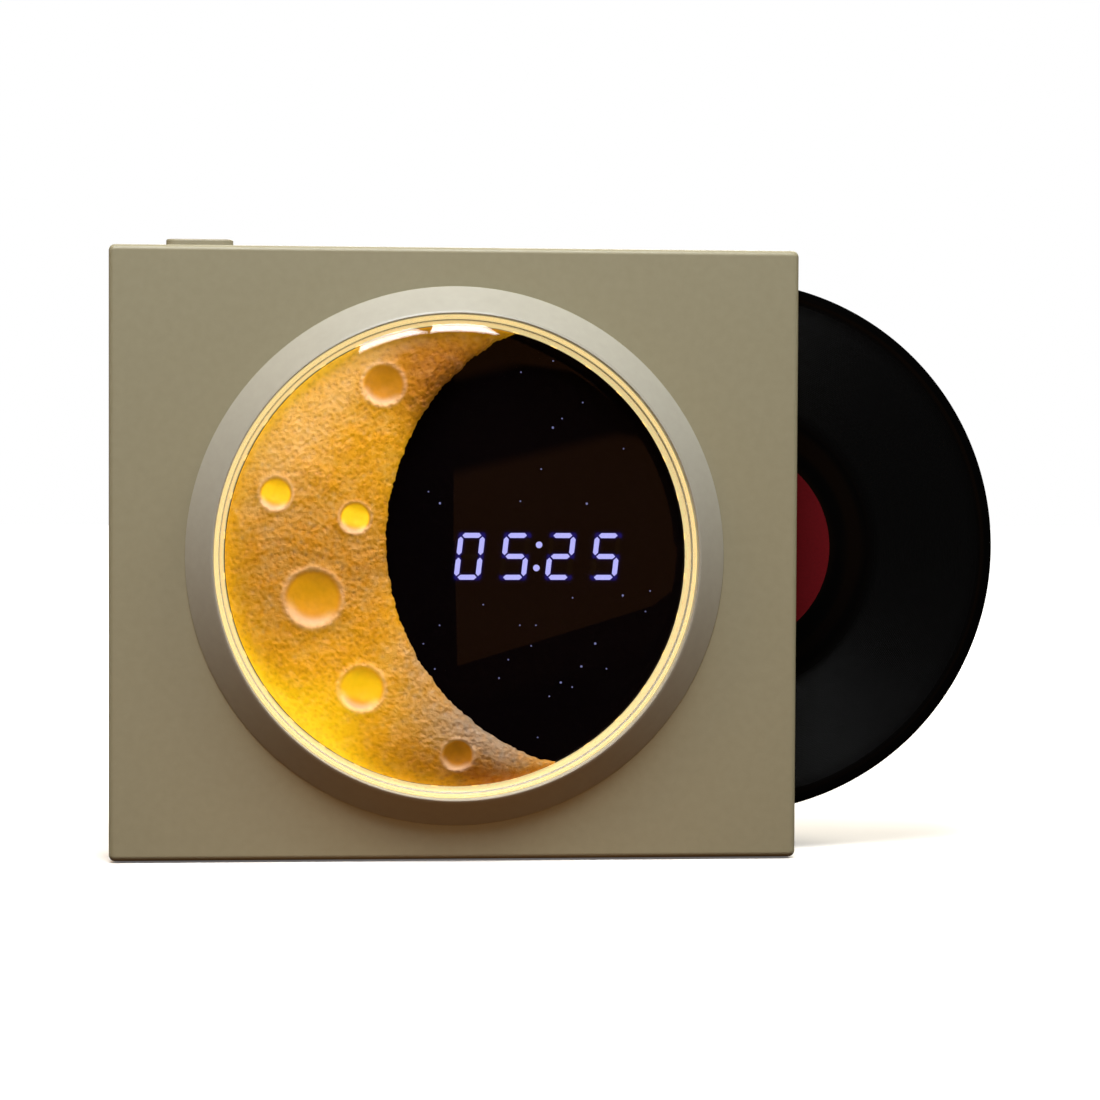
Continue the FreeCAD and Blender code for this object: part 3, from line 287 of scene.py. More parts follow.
@dataclass(frozen=True)
class TurnedSteel:
    """Zinc-plated or drawn steel: a metal with short fine scratches."""

    name: str
    colour: str
    roughness: float = 0.3

    def make(self) -> Material:
        """Builds the material.

        Returns:
            The material.
        """
        finish = Finish(self.name, self.colour, self.roughness, Metallic=1.0)
        finish.varied_roughness(0.8, self.roughness - 0.08, self.roughness + 0.15)
        finish.raised_grain(0.25, 0.004)
        return finish.material


@dataclass(frozen=True)
class CircuitBoard:
    """Glass-fibre board under solder resist: the weave shows faintly through the lacquer."""

    name: str
    colour: str
    darker: str
    weave_mm: float = 0.8

    def make(self) -> Material:
        """Builds the material.

        Returns:
            The material.
        """
        finish = Finish(self.name, self.colour, 0.35, IOR=1.5)
        finish.speckle(self.weave_mm, self.darker, self.colour)
        finish.raised_grain(self.weave_mm, 0.01)
        return finish.material


@dataclass(frozen=True)
class LitPlastic:
    """Milky or clear plastic with a lamp behind it: it glows a little unevenly."""

    name: str
    colour: str
    light: str
    strength: float
    roughness: float = 0.25

    def make(self) -> Material:
        """Builds the material.

        Returns:
            The material.
        """
        finish = Finish(self.name, self.colour, self.roughness, IOR=1.49,
                        Emission_Color=linear(self.light), Emission_Strength=self.strength)
        finish.varied_roughness(2.0, self.roughness - 0.05, self.roughness + 0.05)
        return finish.material


@dataclass(frozen=True)
class ClearAcrylic:
    """Clear polished acrylic of the dial's cover: nearly invisible but for the lamps mirrored in its rim."""

    name: str = "clear_polished_acrylic"
    haze: float = 0.006

    def make(self) -> Material:
        """Builds the material.

        Returns:
            The material.
        """
        finish = Finish(self.name, "FFFFFF", 0.0, IOR=1.49, Transmission_Weight=1.0)
        finish.varied_roughness(30.0, 0.0, self.haze)
        return finish.material


@dataclass(frozen=True)
class BlackAcrylic:
    """Black cast acrylic of the night panel: deep gloss, with a blue halo round the lit digits."""

    name: str = "black_cast_acrylic"
    halo: Stops = (
        (0.15, BLACK), (0.5, (0.0005, 0.0005, 0.007, 1.0)), (1.0, (0.006, 0.006, 0.12, 1.0)),
    )

    def make(self) -> Material:
        """Builds the material.

        Returns:
            The material.
        """
        finish = Finish(self.name, "050304", 0.06, IOR=1.49, Specular_IOR_Level=0.12, Emission_Strength=1.0)
        finish.varied_roughness(9.0, 0.04, 0.08)
        near = finish.add("Attribute", attribute_name="halo")
        blue = finish.add("ValToRGB", {"Fac": (near, "Fac")}, stops=self.halo)
        finish.link((blue, "Color"), finish.shader, "Emission Color")
        return finish.material


@dataclass(frozen=True)
class PaintedResin:
    """Cast resin of the moon, painted in ochres; the lamp ring's light on it is painted in as glow, brightest
    near the rim, and its shade as darker ochres and dimmer glow.
    """

    name: str = "painted_cast_resin"
    dimple_mm: float = 1.5
    mottle_mm: float = 2.4
    grit_mm: float = 0.45
    depth_mm: float = 0.75
    strength: float = 1.12
    # Painted shade: how far the glow dims at the dimples' middles.
    painted_dimple_shade: float = -0.42
    # Pale paint, also used as painted highlight on upward faces, crater lips and rims.
    pale_paint_and_highlight: str = "C9A68A"
    # Ochres from grey-beige to dark brown; the tone picks among them, so their dark end also gives painted
    # shade.
    paint: tuple[tuple[float, str], ...] = (
        (0.08, "8E7D68"), (0.30, "9C7B56"), (0.48, "A57539"), (0.64, "A86A11"), (0.82, "9E5C04"),
        (1.0, "7E4408"),
    )
    # Colours of the painted glow of the lamp ring, by its share.
    light: Stops = (
        (0.0, BLACK), (0.3, (0.22, 0.114, 0.001, 1.0)), (0.6, (0.47, 0.255, 0.002, 1.0)),
        (0.85, (0.72, 0.46, 0.004, 1.0)), (1.0, (0.82, 0.59, 0.015, 1.0)),
    )

    def make(self) -> Material:
        """Builds the material.

        Returns:
            The material.
        """
        finish = Finish(self.name, "C7A981", 0.65, IOR=1.5, Specular_IOR_Level=0.2)
        add = finish.add
        names = ("tone", "glow", "pale", "rough")
        tone, glow, pale, rough = ((add("Attribute", attribute_name=name), "Fac") for name in names)
        dimples = add("TexVoronoi", {"Vector": finish.place},
                      {"Scale": 1.0 / (self.dimple_mm * MM), "Randomness": 1.0}, feature="SMOOTH_F1")
        # Painted shade: the ochres darken towards the dimples' middles.
        pit_shade = add("Math", {0: (dimples, "Distance"), 1: rough}, operation="MULTIPLY")
        mottle = add("TexNoise", {"Vector": finish.place},
                     {"Scale": 1.0 / (self.mottle_mm * MM), "Detail": 5.0})
        mottled = add("Math", {0: (mottle, "Fac"), 2: tone}, {1: 0.30}, operation="MULTIPLY_ADD")
        mixed = add("Math", {0: (pit_shade, "Value"), 2: (mottled, "Value")}, {1: -0.25},
                    operation="MULTIPLY_ADD")
        ochres = add("ValToRGB", {"Fac": (mixed, "Value")},
                     stops=tuple((position, linear(colour)) for position, colour in self.paint))
        # Pale paint and painted highlight laid over the ochres.
        lip = add("Mix", {0: pale, 6: (ochres, "Color")}, {7: linear(self.pale_paint_and_highlight)}, data_type="RGBA")
        finish.link((lip, 2), finish.shader, "Base Color")
        light = add("ValToRGB", {"Fac": glow}, stops=self.light)
        finish.link((light, "Color"), finish.shader, "Emission Color")
        # Painted shade: the glow dims at the dimples' middles, less where the grain is calm.
        shade = add("MapRange", {"Value": (dimples, "Distance")},
                    {"From Min": 0.1, "From Max": 0.5, "To Min": self.painted_dimple_shade, "To Max": 0.0})
        level = add("Math", {0: (shade, "Result"), 1: rough}, {2: self.strength}, operation="MULTIPLY_ADD")
        finish.link((level, "Value"), finish.shader, "Emission Strength")
        grit = add("TexNoise", {"Vector": finish.place}, {"Scale": 1.0 / (self.grit_mm * MM), "Detail": 3.0})
        both = add("Math", {0: (grit, "Fac"), 2: (dimples, "Distance")}, {1: 0.5}, operation="MULTIPLY_ADD")
        held = add("Math", {0: (both, "Value"), 1: rough}, operation="MULTIPLY")
        bump = add("Bump", {"Height": (held, "Value")}, {"Distance": self.depth_mm * MM})
        finish.link((bump, "Normal"), finish.shader, "Normal")
        return finish.material


@dataclass(frozen=True)
class PressedVinyl:
    """Pressed black vinyl: fine grooves that catch the light in a narrow fan."""

    centre: Place
    groove_mm: float = 0.55
    depth_mm: float = 0.05

    def make(self) -> Material:
        """Builds the material; the groove is drawn wider than a real one so that it shows.

        Returns:
            The material.
        """
        finish = Finish("pressed_black_vinyl", "040404", 0.22, IOR=1.5, Specular_IOR_Level=0.35)
        add = finish.add
        mapping = add("Mapping", {"Vector": finish.place}, {"Location": [-c * MM for c in self.centre]})
        parts = add("SeparateXYZ", {"Vector": (mapping, "Vector")})
        flat = add("CombineXYZ", {"X": (parts, "X"), "Z": (parts, "Z")})
        radius = add("VectorMath", {0: (flat, "Vector")}, operation="LENGTH")
        grooved = add("Attribute", attribute_name="grooved")
        wave = add("Math", {0: (radius, "Value")},
                   {1: 2 * math.pi / (self.groove_mm * MM)}, operation="MULTIPLY")
        height = add("Math", {0: (wave, "Value")}, operation="SINE")
        held = add("Math", {0: (height, "Value"), 1: (grooved, "Fac")}, operation="MULTIPLY")
        bump = add("Bump", {"Height": (held, "Value")}, {"Distance": self.depth_mm * MM, "Strength": 0.8})
        finish.link((bump, "Normal"), finish.shader, "Normal")
        span = add("MapRange", {"Value": (grooved, "Fac")}, {"To Min": 0.12, "To Max": 0.34})
        finish.link((span, "Result"), finish.shader, "Roughness")
        return finish.material


@dataclass(frozen=True)
class LabelPaper:
    """Coated paper pressed on to the disc: dark crimson, with a faint fibre."""

    name: str = "coated_label_paper"
    fibre_mm: float = 0.3

    def make(self) -> Material:
        """Builds the material.

        Returns:
            The material.
        """
        finish = Finish(self.name, "5C060E", 0.7, IOR=1.45, Specular_IOR_Level=0.15)
        finish.speckle(0.8, "56050C", "640811")
        finish.raised_grain(self.fibre_mm, 0.015)
        return finish.material


def deselect() -> None:
    """Leaves edit mode and deselects everything."""
    if bpy.context.object and bpy.context.object.mode != "OBJECT":
        bpy.ops.object.mode_set(mode="OBJECT")
    bpy.ops.object.select_all(action="DESELECT")


def added(operator: Callable, **settings: object) -> Object:
    """Runs an operator that adds an object.

    Args:
        operator: Operator of bpy.ops.
        settings: What it is given.

    Returns:
        The new object.
    """
    deselect()
    operator(**settings)
    return bpy.context.object


def pick(piece: Object) -> None:
    """Selects one piece alone.

    Args:
        piece: The piece.
    """
    deselect()
    piece.select_set(True)
    bpy.context.view_layer.objects.active = piece


def edit(piece: Object) -> None:
    """Enters edit mode on one piece alone."""
    pick(piece)
    bpy.ops.object.mode_set(mode="EDIT")


def on_all(operator: Callable, **settings: object) -> None:
    """Selects the whole mesh in edit mode and runs an operator on it."""
    bpy.ops.mesh.select_all(action="SELECT")
    operator(**settings)


def settle(piece: Object, name: str) -> Object:
    """Names a piece and puts its place into its mesh.

    Args:
        piece: Object that was modelled.
        name: Its name.

    Returns:
        The same object, at the origin.
    """
    pick(piece)
    bpy.ops.object.transform_apply(location=True, rotation=True, scale=True)
    piece.name = piece.data.name = name
    return piece


def smooth(piece: Object, degrees: float = 32.0) -> None:
    """Shades a piece smooth but for its sharp edges."""
    pick(piece)
    bpy.ops.object.shade_smooth_by_angle(angle=math.radians(degrees))


def turned(name: str, outline: Sequence[Point], x: float = DIAL_X, z: float = DIAL_Z,
           steps: int = TURN_STEPS, closed: bool = True) -> Object:
    """Spins an outline round an axis along Y.

    Args:
        name: Name of the piece.
        outline: (radius, y) points in millimetres.
        x: Axis place across, in millimetres.
        z: Axis height, in millimetres.
        steps: Steps of the spin.
        closed: Whether the outline's last point joins its first.

    Returns:
        The turned piece.
    """
    radius, y = outline[0]
    piece = added(bpy.ops.mesh.primitive_plane_add, size=MM, location=((x + radius) * MM, y * MM, z * MM))
    edit(piece)
    on_all(bpy.ops.mesh.merge, type="CENTER")
    for before, after in zip(outline, outline[1:]):
        step = ((after[0] - before[0]) * MM, (after[1] - before[1]) * MM, 0)
        bpy.ops.mesh.extrude_region_move(TRANSFORM_OT_translate={"value": step})
    if closed:
        mesh = bmesh.from_edit_mesh(piece.data)
        mesh.verts.ensure_lookup_table()
        ends = [v for v in mesh.verts if len(v.link_edges) == 1]
        bpy.ops.mesh.select_all(action="DESELECT")
        for vert in ends:
            vert.select = True
        bmesh.update_edit_mesh(piece.data)
        bpy.ops.mesh.edge_face_add()
    on_all(bpy.ops.mesh.spin, steps=steps, angle=2 * math.pi, center=(x * MM, 0, z * MM), axis=(0, 1, 0))
    on_all(bpy.ops.mesh.remove_doubles, threshold=0.003 * MM)
    on_all(bpy.ops.mesh.normals_make_consistent, inside=False)
    settle(piece, name)
    smooth(piece)
    return piece


def rounded(corners: Sequence[Place], steps: int = 6) -> list[Point]:
    """Rounds the corners of a closed outline.

    Args:
        corners: (radius, y, rounding) of each corner, in millimetres.
        steps: Points on each rounding.

    Returns:
        The outline's points.
    """
    points: list[Point] = []
    count = len(corners)
    for index, (u, v, bend) in enumerate(corners):
        here = Vector((u, v))
        if bend <= 0:
            points.append((u, v))
            continue
        before = Vector(corners[index - 1][:2]) - here
        after = Vector(corners[(index + 1) % count][:2]) - here
        before.normalize()
        after.normalize()
        half = before.angle(after) / 2
        reach = bend / math.tan(half)
        middle = here + (before + after).normalized() * (bend / math.sin(half))
        start = here + before * reach - middle
        end = here + after * reach - middle
        sweep = start.angle_signed(end)
        for step in range(steps + 1):
            angle = -sweep * step / steps
            turn = Vector((start.x * math.cos(angle) - start.y * math.sin(angle),
                           start.x * math.sin(angle) + start.y * math.cos(angle)))
            points.append((middle.x + turn.x, middle.y + turn.y))
    return points


def wear(piece: Object, material: Material) -> None:
    """Gives a piece one material."""
    piece.data.materials.clear()
    piece.data.materials.append(material)


def mount(piece: Object, material: Material, body: Body, node: str) -> None:
    """Gives a piece its material, fixes it to a body and hides the frame node that it replaces.

    Args:
        piece: Piece of the looks.
        material: Its material.
        body: Body that it rides on.
        node: Frame node that it replaces.
    """
    wear(piece, material)
    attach(piece, body.value)
    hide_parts(node)
    LOG.info("%s: %d faces on %s", piece.name, len(piece.data.polygons), body.value)


def dress(node: str, name: str, material: Material, body: Body) -> None:
    """Puts a merged, smoothly shaded copy of a frame node in its place.

    Args:
        node: Name of the node.
        name: Name of the copy.
        material: Its material.
        body: Body that it rides on.
    """
    pick(frame["nodes"][node])
    bpy.ops.object.duplicate()
    piece = bpy.context.object
    piece.parent = None
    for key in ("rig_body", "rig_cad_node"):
        if key in piece:
            del piece[key]
    piece.name = piece.data.name = name
    edit(piece)
    on_all(bpy.ops.mesh.remove_doubles, threshold=0.002 * MM)
    bpy.ops.mesh.dissolve_limited(angle_limit=math.radians(0.2))
    smooth(piece)
    even = piece.modifiers.new("even_normals", "WEIGHTED_NORMAL")
    even.keep_sharp = True
    even.weight = 100
    bpy.ops.object.modifier_apply(modifier=even.name)
    mount(piece, material, body, node)


def set_attribute(piece: Object, name: str, values: Array) -> None:
    """Writes a number for each vertex of a piece."""
    layer = piece.data.attributes.new(name, "FLOAT", "POINT")
    layer.data.foreach_set("value", values.astype(np.float32))


def vertices(piece: Object) -> Array:
    """Reads a piece's vertices.

    Args:
        piece: The piece.

    Returns:
        A row of x, y and z in millimetres for each vertex.
    """
    flat = np.empty(len(piece.data.vertices) * 3)
    piece.data.vertices.foreach_get("co", flat)
    return flat.reshape(-1, 3) / MM


def step_between(low: float, high: float, value: Array) -> Array:
    """Smooth step from 0 at low to 1 at high."""
    share = np.clip((value - low) / (high - low), 0, 1)
    return share * share * (3 - 2 * share)


@dataclass
class Case:
    """Two-part case with its feet and screws."""

    plastic: MouldedPlastic = MouldedPlastic("spark_grained_abs", "938F77", "8F8B73")
    rubber: Rubber = Rubber("black_nitrile_rubber", "1B1B1B")
    steel: TurnedSteel = TurnedSteel("zinc_plated_steel", "8C8E90")

    def build(self) -> None:
        """Builds the shells, the screws and the feet."""
        plastic, rubber = self.plastic.make(), self.rubber.make()
        for node in ("front_shell", "back_cover"):
            dress(node, node + "_moulding", plastic, Body.CASE)
        dress("case_screws", "case_screw_heads", self.steel.make(), Body.CASE)
        for node in ("front_foot", "rear_foot"):
            dress(node, node + "_strip", rubber, Body.CASE)


@dataclass
class Bezel:
    """Sloping ring round the dial."""

    base_radius: float = 86.0
    base_y: float = -18.0
    collar_y: float = -12.7
    collar_radius: float = 80.8
    bore_radius: float = 77.0
    front_y: float = -27.0
    lip: float = 0.4
    slope_radius: float = 78.05
    slope_y: float = -26.55
    plastic: MouldedPlastic = MouldedPlastic("satin_moulded_abs", "9D9C92", "99988E", 0.38, 0.35, 0.008)

    def build(self) -> None:
        """Turns the bezel from its section."""
        outline = rounded([
            (self.collar_radius, self.collar_y, 0.0),
            (self.collar_radius, self.base_y, 0.0),
            (self.base_radius, self.base_y, 0.0),
            (self.base_radius, self.base_y - 0.35, 0.25),
            (self.slope_radius, self.slope_y, 0.5),
            (self.bore_radius + self.lip, self.front_y, 0.3),
            (self.bore_radius, self.front_y, 0.2),
            (self.bore_radius, self.collar_y, 0.0),
        ])
        piece = turned("dial_bezel_ring", outline)
        mount(piece, self.plastic.make(), Body.CASE, "dial_bezel")


@dataclass
class LightRing:
    """Milky ring that glows between the bezel and the dial."""

    inner: float = 74.9
    outer: float = 76.85
    step_radius: float = 76.05
    front: float = -21.6
    step_front: float = -22.3
    back: float = -12.7
    milky: LitPlastic = LitPlastic("milky_cast_acrylic", "A08654", "FFE8A6", 0.80, 0.3)

    def build(self) -> None:
        """Turns the ring with its stepped front."""
        outline = rounded([
            (self.inner, self.back, 0.0),
            (self.inner, self.front, 0.25),
            (self.step_radius, self.front, 0.0),
            (self.step_radius, self.step_front, 0.2),
            (self.outer, self.step_front, 0.0),
            (self.outer, self.back, 0.0),
        ])
        piece = turned("milky_light_ring", outline)
        mount(piece, self.milky.make(), Body.CASE, "light_ring")


@dataclass
class DialCover:
    """Clear cover with a rounded rim."""

    radius: float = 76.85
    middle_front: float = -29.8
    edge_front: float = -28.6
    edge_radius: float = 68.85
    edge_round: float = 8.0
    wall: float = 1.7
    rim_steps: int = 20
    sides: int = 256

    def crown(self, inset: float, count: int = 14) -> list[Point]:
        """Points of the crown, moved in by the wall.

        Args:
            inset: Distance inside the outer face.
            count: Points from the axis to the rim.

        Returns:
            (radius, y) points from the axis outwards.
        """
        points = []
        rise = self.edge_front - self.middle_front
        for index in range(count + 1):
            share = index / count
            points.append((share * self.edge_radius, self.middle_front + inset + rise * share * share))
        lean = math.atan(2 * rise / self.edge_radius)
        bend = self.edge_round - inset
        start = math.pi / 2 - lean
        centre_y = self.edge_front + self.edge_round
        for index in range(1, self.rim_steps + 1):
            angle = start * (1 - index / (self.rim_steps + 2))
            points.append((self.edge_radius + bend * math.cos(angle), centre_y - bend * math.sin(angle)))
        return points

    def build(self) -> None:
        """Turns the cover from its outer and inner skins."""
        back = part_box("dial_cover")[1].y / MM
        outline = [(min(r, self.radius), y) for r, y in self.crown(0.0)] + [(self.radius, back)]
        bore = self.radius - self.wall
        inner = [(min(r, bore), y) for r, y in self.crown(self.wall)] + [(bore, back)]
        outline += inner[::-1]
        piece = turned("dial_cover_lens", outline, steps=self.sides, closed=False)
        smooth(piece, 40)
        piece.visible_shadow = False
        mount(piece, ClearAcrylic().make(), Body.CASE, "dial_cover")


def quarter_round(value: Array, reach: float) -> Array:
    """Rises from 0 at 0 to 1 at the reach along a quarter circle."""
    return np.sqrt(1 - (1 - np.clip(value / reach, 0, 1)) ** 2)


def hump(value: Array, middle: float, width: float) -> Array:
    """Bell that is 1 at the middle and falls off over the width."""
    return np.exp(-((value - middle) / width) ** 2)


def spot(x: Array, z: Array, middle: Point, reach: Point) -> Array:
    """Soft oval that is 1 at its middle and falls off over its two reaches."""
    return np.exp(-((x - middle[0]) / reach[0]) ** 2 - ((z - middle[1]) / reach[1]) ** 2)


@dataclass
class Crust:
    """Points of the moon, in millimetres from the dial's middle, with the noise of its cast surface.

    A point's edge is its distance from the inner edge, its depth the one from the rim.
    """

    x: Array
    z: Array
    edge: Array
    depth: Array = field(init=False)
    share: Array = field(init=False)
    lumps: Array = field(init=False)
    grit: Array = field(init=False)
    ragged: Array = field(init=False)
    pits: Array = field(init=False)
    grain: Array = field(init=False)

    def __post_init__(self) -> None:
        """Draws broad lumps, round pits, fine grit and ragged streaks."""
        self.depth = np.clip(MOON_RADIUS - np.hypot(self.x, self.z), 0, None)
        inner = np.clip(self.edge, 0, None)
        self.share = inner / (inner + self.depth + 1e-6)
        self.lumps = self.noisy(0.13, 0.3)
        self.grit = self.noisy(1.25, 4.1)
        self.ragged = self.noisy(0.33, 9.7)
        cells = [noise.voronoi(Vector((x * 0.44, z * 0.44, 2.2)))[0][0] for x, z in zip(self.x, self.z)]
        self.pits = np.minimum(cells, 1.0)
        patch = 0.60 + 0.60 * step_between(-0.35, 0.35, self.lumps)
        calm_rim = 0.8 + 0.2 * step_between(0.0, 5.0, self.depth)
        self.grain = (0.50 * (self.pits - 0.45) + 0.26 * self.grit) * patch * calm_rim

    def noisy(self, scale: float, layer: float) -> Array:
        """Noise with a number of lumps a millimetre, on a layer of its own."""
        return np.array([noise.noise(Vector((x * scale, z * scale, layer))) for x, z in zip(self.x, self.z)])


@dataclass
class Skin:
    """Height of the relief above the panel, and its paint as shares from 0 to 1; glow is painted light, and
    tone and pale also hold painted shade and painted highlight.
    """

    height: Array
    glow: Array
    tone: Array
    pale: Array
    rough: Array


@dataclass
class Crater:
    """A round bowl in the moon, in millimetres from the dial's middle."""

    x: float
    z: float
    radius: float
    depth: float
    # Share of the lamp ring's painted glow in the bowl.
    ring_glow: float

    def press(self, crust: Crust, skin: Skin) -> None:
        """Sinks the bowl into the skin, raises its rim and paints both, with painted light in the bowl and a
        painted highlight on its lower lip and rim.

        Args:
            crust: The moon's cast surface; its grain fades out in the bowl.
            skin: Relief and paint, which change.
        """
        gap = np.hypot(crust.x - self.x, crust.z - self.z) / self.radius
        calm = 1 - step_between(0.85, 1.15, gap)
        inside = 1 - step_between(0.82, 0.98, gap)
        bowl = self.depth * (1 - step_between(0.0, 1.0, gap))
        lift = 0.34 * self.depth * hump(gap, 1.04, 0.15)
        skin.height = skin.height - calm * crust.grain - bowl + lift
        # Painted light of the lamp ring in the bowl, weaker at its low side, with painted shade at its top.
        lean = ((crust.x - self.x) * 0.25 + (crust.z - self.z) * 0.97) / self.radius
        upper = step_between(-0.95, -0.3, lean)
        dim = 0.30 * step_between(0.25, 0.95, lean)
        light = self.ring_glow * (upper - dim) + 0.20 * (1 - upper)
        skin.glow = skin.glow * (1 - inside) + inside * light
        skin.tone = skin.tone * (1 - inside) + inside * (0.42 + 0.35 * upper)
        # Painted highlight: the lower lip and the rim are paler.
        low_lip = hump(gap, 0.86, 0.17) * (1 - step_between(-0.75, -0.1, lean))
        skin.pale = skin.pale * (1 - calm) + 0.8 * low_lip + 0.35 * hump(gap, 1.06, 0.10)
        skin.rough = skin.rough * (1 - 0.85 * calm)


@dataclass
class Moon:
    """Cast crescent relief with craters, lit from behind."""

    along: int = 460
    across: int = 170
    rim_height: float = 1.3
    top_height: float = 8.0
    least_height: float = 0.25
    border_height: float = 0.05
    outer_round: float = 20.0
    inner_round: float = 9.0
    tip_gap: float = 0.25
    rim_gap: float = 0.05
    tip_fade: float = 5.0
    # (waves a radian, layer of the noise, height) of the ragged inner edge.
    ragged: tuple[Place, ...] = ((26.0, 5.5, 0.5), (75.0, 8.8, 0.35))
    craters: tuple[Crater, ...] = (
        Crater(-23.6, 54.5, 6.5, 1.5, 0.32),
        Crater(-57.4, 19.9, 5.1, 1.4, 0.95),
        Crater(-32.4, 12.4, 4.9, 1.4, 1.0),
        Crater(-45.6, -13.0, 8.9, 2.2, 0.5),
        Crater(-30.2, -41.7, 7.1, 1.9, 0.85),
        Crater(0.3, -63.0, 5.0, 1.3, 0.14),
    )

    def tips(self) -> tuple[float, float]:
        """Finds the crescent's two tips.

        Returns:
            Their angles, seen from the dial's middle.
        """
        rise = BITE_Z - DIAL_Z
        reach = math.hypot(BITE_X, rise)
        edge = MOON_RADIUS - self.tip_gap
        cosine = (edge ** 2 + reach ** 2 - BITE_RADIUS ** 2) / (2 * edge * reach)
        lean = math.atan2(rise, BITE_X)
        return lean + math.acos(cosine), lean - math.acos(cosine) + 2 * math.pi

    def crescent(self, along: Array, across: Array) -> Crust:
        """Bends a flat grid to the crescent.

        Args:
            along: Share of the way from the upper tip to the lower one.
            across: Share of the way from the outer edge to the ragged inner one.

        Returns:
            The crust at the grid's points.
        """
        start, end = self.tips()
        angle = start + (end - start) * along
        outer_x = (MOON_RADIUS - self.rim_gap) * np.cos(angle)
        outer_z = (MOON_RADIUS - self.rim_gap) * np.sin(angle)
        rise = BITE_Z - DIAL_Z
        away = np.arctan2(outer_z - rise, outer_x - BITE_X)
        width = np.hypot(outer_x - BITE_X, outer_z - rise) - BITE_RADIUS
        waves = np.full(len(away), 0.5)
        for scale, layer, swing in self.ragged:
            waves += swing * np.array([noise.noise(Vector((turn * scale, 0.0, layer))) for turn in away])
        radius = BITE_RADIUS + waves * np.clip(width / self.tip_fade, 0, 1)
        x = outer_x + (BITE_X + radius * np.cos(away) - outer_x) * across
        z = outer_z + (rise + radius * np.sin(away) - outer_z) * across
        return Crust(x, z, np.hypot(x - BITE_X, z - rise) - radius)

    def relief(self, crust: Crust) -> Array:
        """Shapes the moon without its craters.

        Args:
            crust: The moon's cast surface.

        Returns:
            Height above the panel.
        """
        rise = (self.top_height - self.rim_height) * quarter_round(crust.depth, self.outer_round)
        crown = self.rim_height + rise * (0.3 + 0.7 * quarter_round(crust.edge, self.inner_round))
        wall = 0.12 + 0.88 * step_between(0.0, 0.6, crust.edge)
        return (crown + 0.5 * crust.lumps + crust.grain) * wall

    def skin(self, crust: Crust) -> Skin:
        """Shapes and paints the moon, with the lamp ring's light painted in as glow, and painted shade and
        highlight in its tone and pale paint.

        Args:
            crust: The moon's cast surface.

        Returns:
            The finished relief and its paint.
        """
        x, z, share = crust.x, crust.z, crust.share
        turn = np.degrees(np.arctan2(z, x)) % 360
        low_left = spot(x, z, (-42, -50), (24, 19))
        beige = np.maximum(spot(x, z, (8, -52), (26, 15)),
                           0.7 * hump(turn, 250, 15) * step_between(0.35, 0.0, share))
        tip = step_between(-8.0, 16.0, x) * step_between(-40.0, -52.0, z)
        top = step_between(122, 98, turn)
        bottom = hump(turn, 268, 22) * step_between(0.35, 0.8, share)
        upper = hump(turn, 140, 24) * step_between(0.3, 0.8, share)
        rim = np.exp(-np.clip(crust.depth - 0.5, 0, None) / 5.5) * (0.36 + 0.30 * hump(turn, 222, 34))
        # Painted light of the lamp ring: strongest along the rim and at the lower left, with brighter patches
        # at the upper left.
        glow = 0.30 + rim * (1 - 0.75 * tip) + 0.42 * low_left
        glow += 0.12 * spot(x, z, (-14, 30), (13, 24)) + 0.16 * spot(x, z, (-42, 36), (20, 22))
        # Painted shade: less glow at the top tip, the lower tip, the left, the bottom and in the beige
        # patches.
        glow -= 0.24 * beige + 0.29 * top + 0.20 * tip + 0.10 * hump(turn, 182, 26) + 0.22 * bottom
        glow += 0.05 * hump(turn, 128, 26) + 0.14 * hump(turn, 224, 24) * (1 - share)
        # Painted shade: less glow in the pits.
        glow -= 0.10 * step_between(0.35, 0.1, crust.pits)
        # Tone of the ochres: random lumps and pits, deeper gold under the painted glow, greyer in the beige
        # patches.
        tone = 0.46 + 0.13 * crust.lumps + 0.16 * (crust.pits - 0.45) + 0.22 * glow - 0.38 * beige
        # Painted shade: darker ochres at the top tip and the bottom; the upper left is a little paler.
        tone += 0.40 * top * (1 - 0.5 * share) + 0.35 * bottom - 0.08 * upper
        # Pale paint in ragged streaks, painted highlight towards the rim on the upper left, and paler towards
        # the rim near the top tip.
        pale = 0.16 * crust.ragged + 0.10 * beige + 0.30 * upper
        pale += 0.35 * hump(turn, 112, 14) * step_between(0.6, 0.9, share)
        # The grain and the painted dimple shade calm down where the painted glow is strong.
        rough = 1 - 0.48 * np.clip(low_left + 0.9 * rim, 0, 1)
        skin = Skin(self.relief(crust), glow, tone, np.clip(pale, 0, 1), rough)
        for crater in self.craters:
            crater.press(crust, skin)
        return skin

    def build(self) -> None:
        """Bends a grid to the crescent, raises it and closes its sides."""
        piece = added(bpy.ops.mesh.primitive_grid_add, x_subdivisions=self.along,
                      y_subdivisions=self.across, size=2)
        flat = vertices(piece)[:, :2] * MM
        crust = self.crescent((flat[:, 0] + 1) / 2, (flat[:, 1] + 1) / 2)
        skin = self.skin(crust)
        border = np.abs(flat).max(axis=1) > 1 - 2e-6
        height = np.where(border, self.border_height, np.maximum(skin.height, self.least_height))
        place = np.stack([DIAL_X + crust.x, PANEL_FRONT - height, DIAL_Z + crust.z], axis=1) * MM
        piece.data.vertices.foreach_set("co", place.ravel())
        piece.data.update()
        for name in ("glow", "tone", "pale", "rough"):
            set_attribute(piece, name, np.clip(getattr(skin, name), 0, 1))
        edit(piece)
        on_all(bpy.ops.mesh.remove_doubles, threshold=0.004 * MM)
        on_all(bpy.ops.mesh.normals_make_consistent, inside=False)
        settle(piece, "moon_relief_casting")
        bpy.ops.object.shade_smooth()
        if np.mean([face.normal.y for face in piece.data.polygons]) > 0:
            edit(piece)
            on_all(bpy.ops.mesh.flip_normals)
            deselect()
        mount(piece, PaintedResin().make(), Body.CASE, "moon_relief")


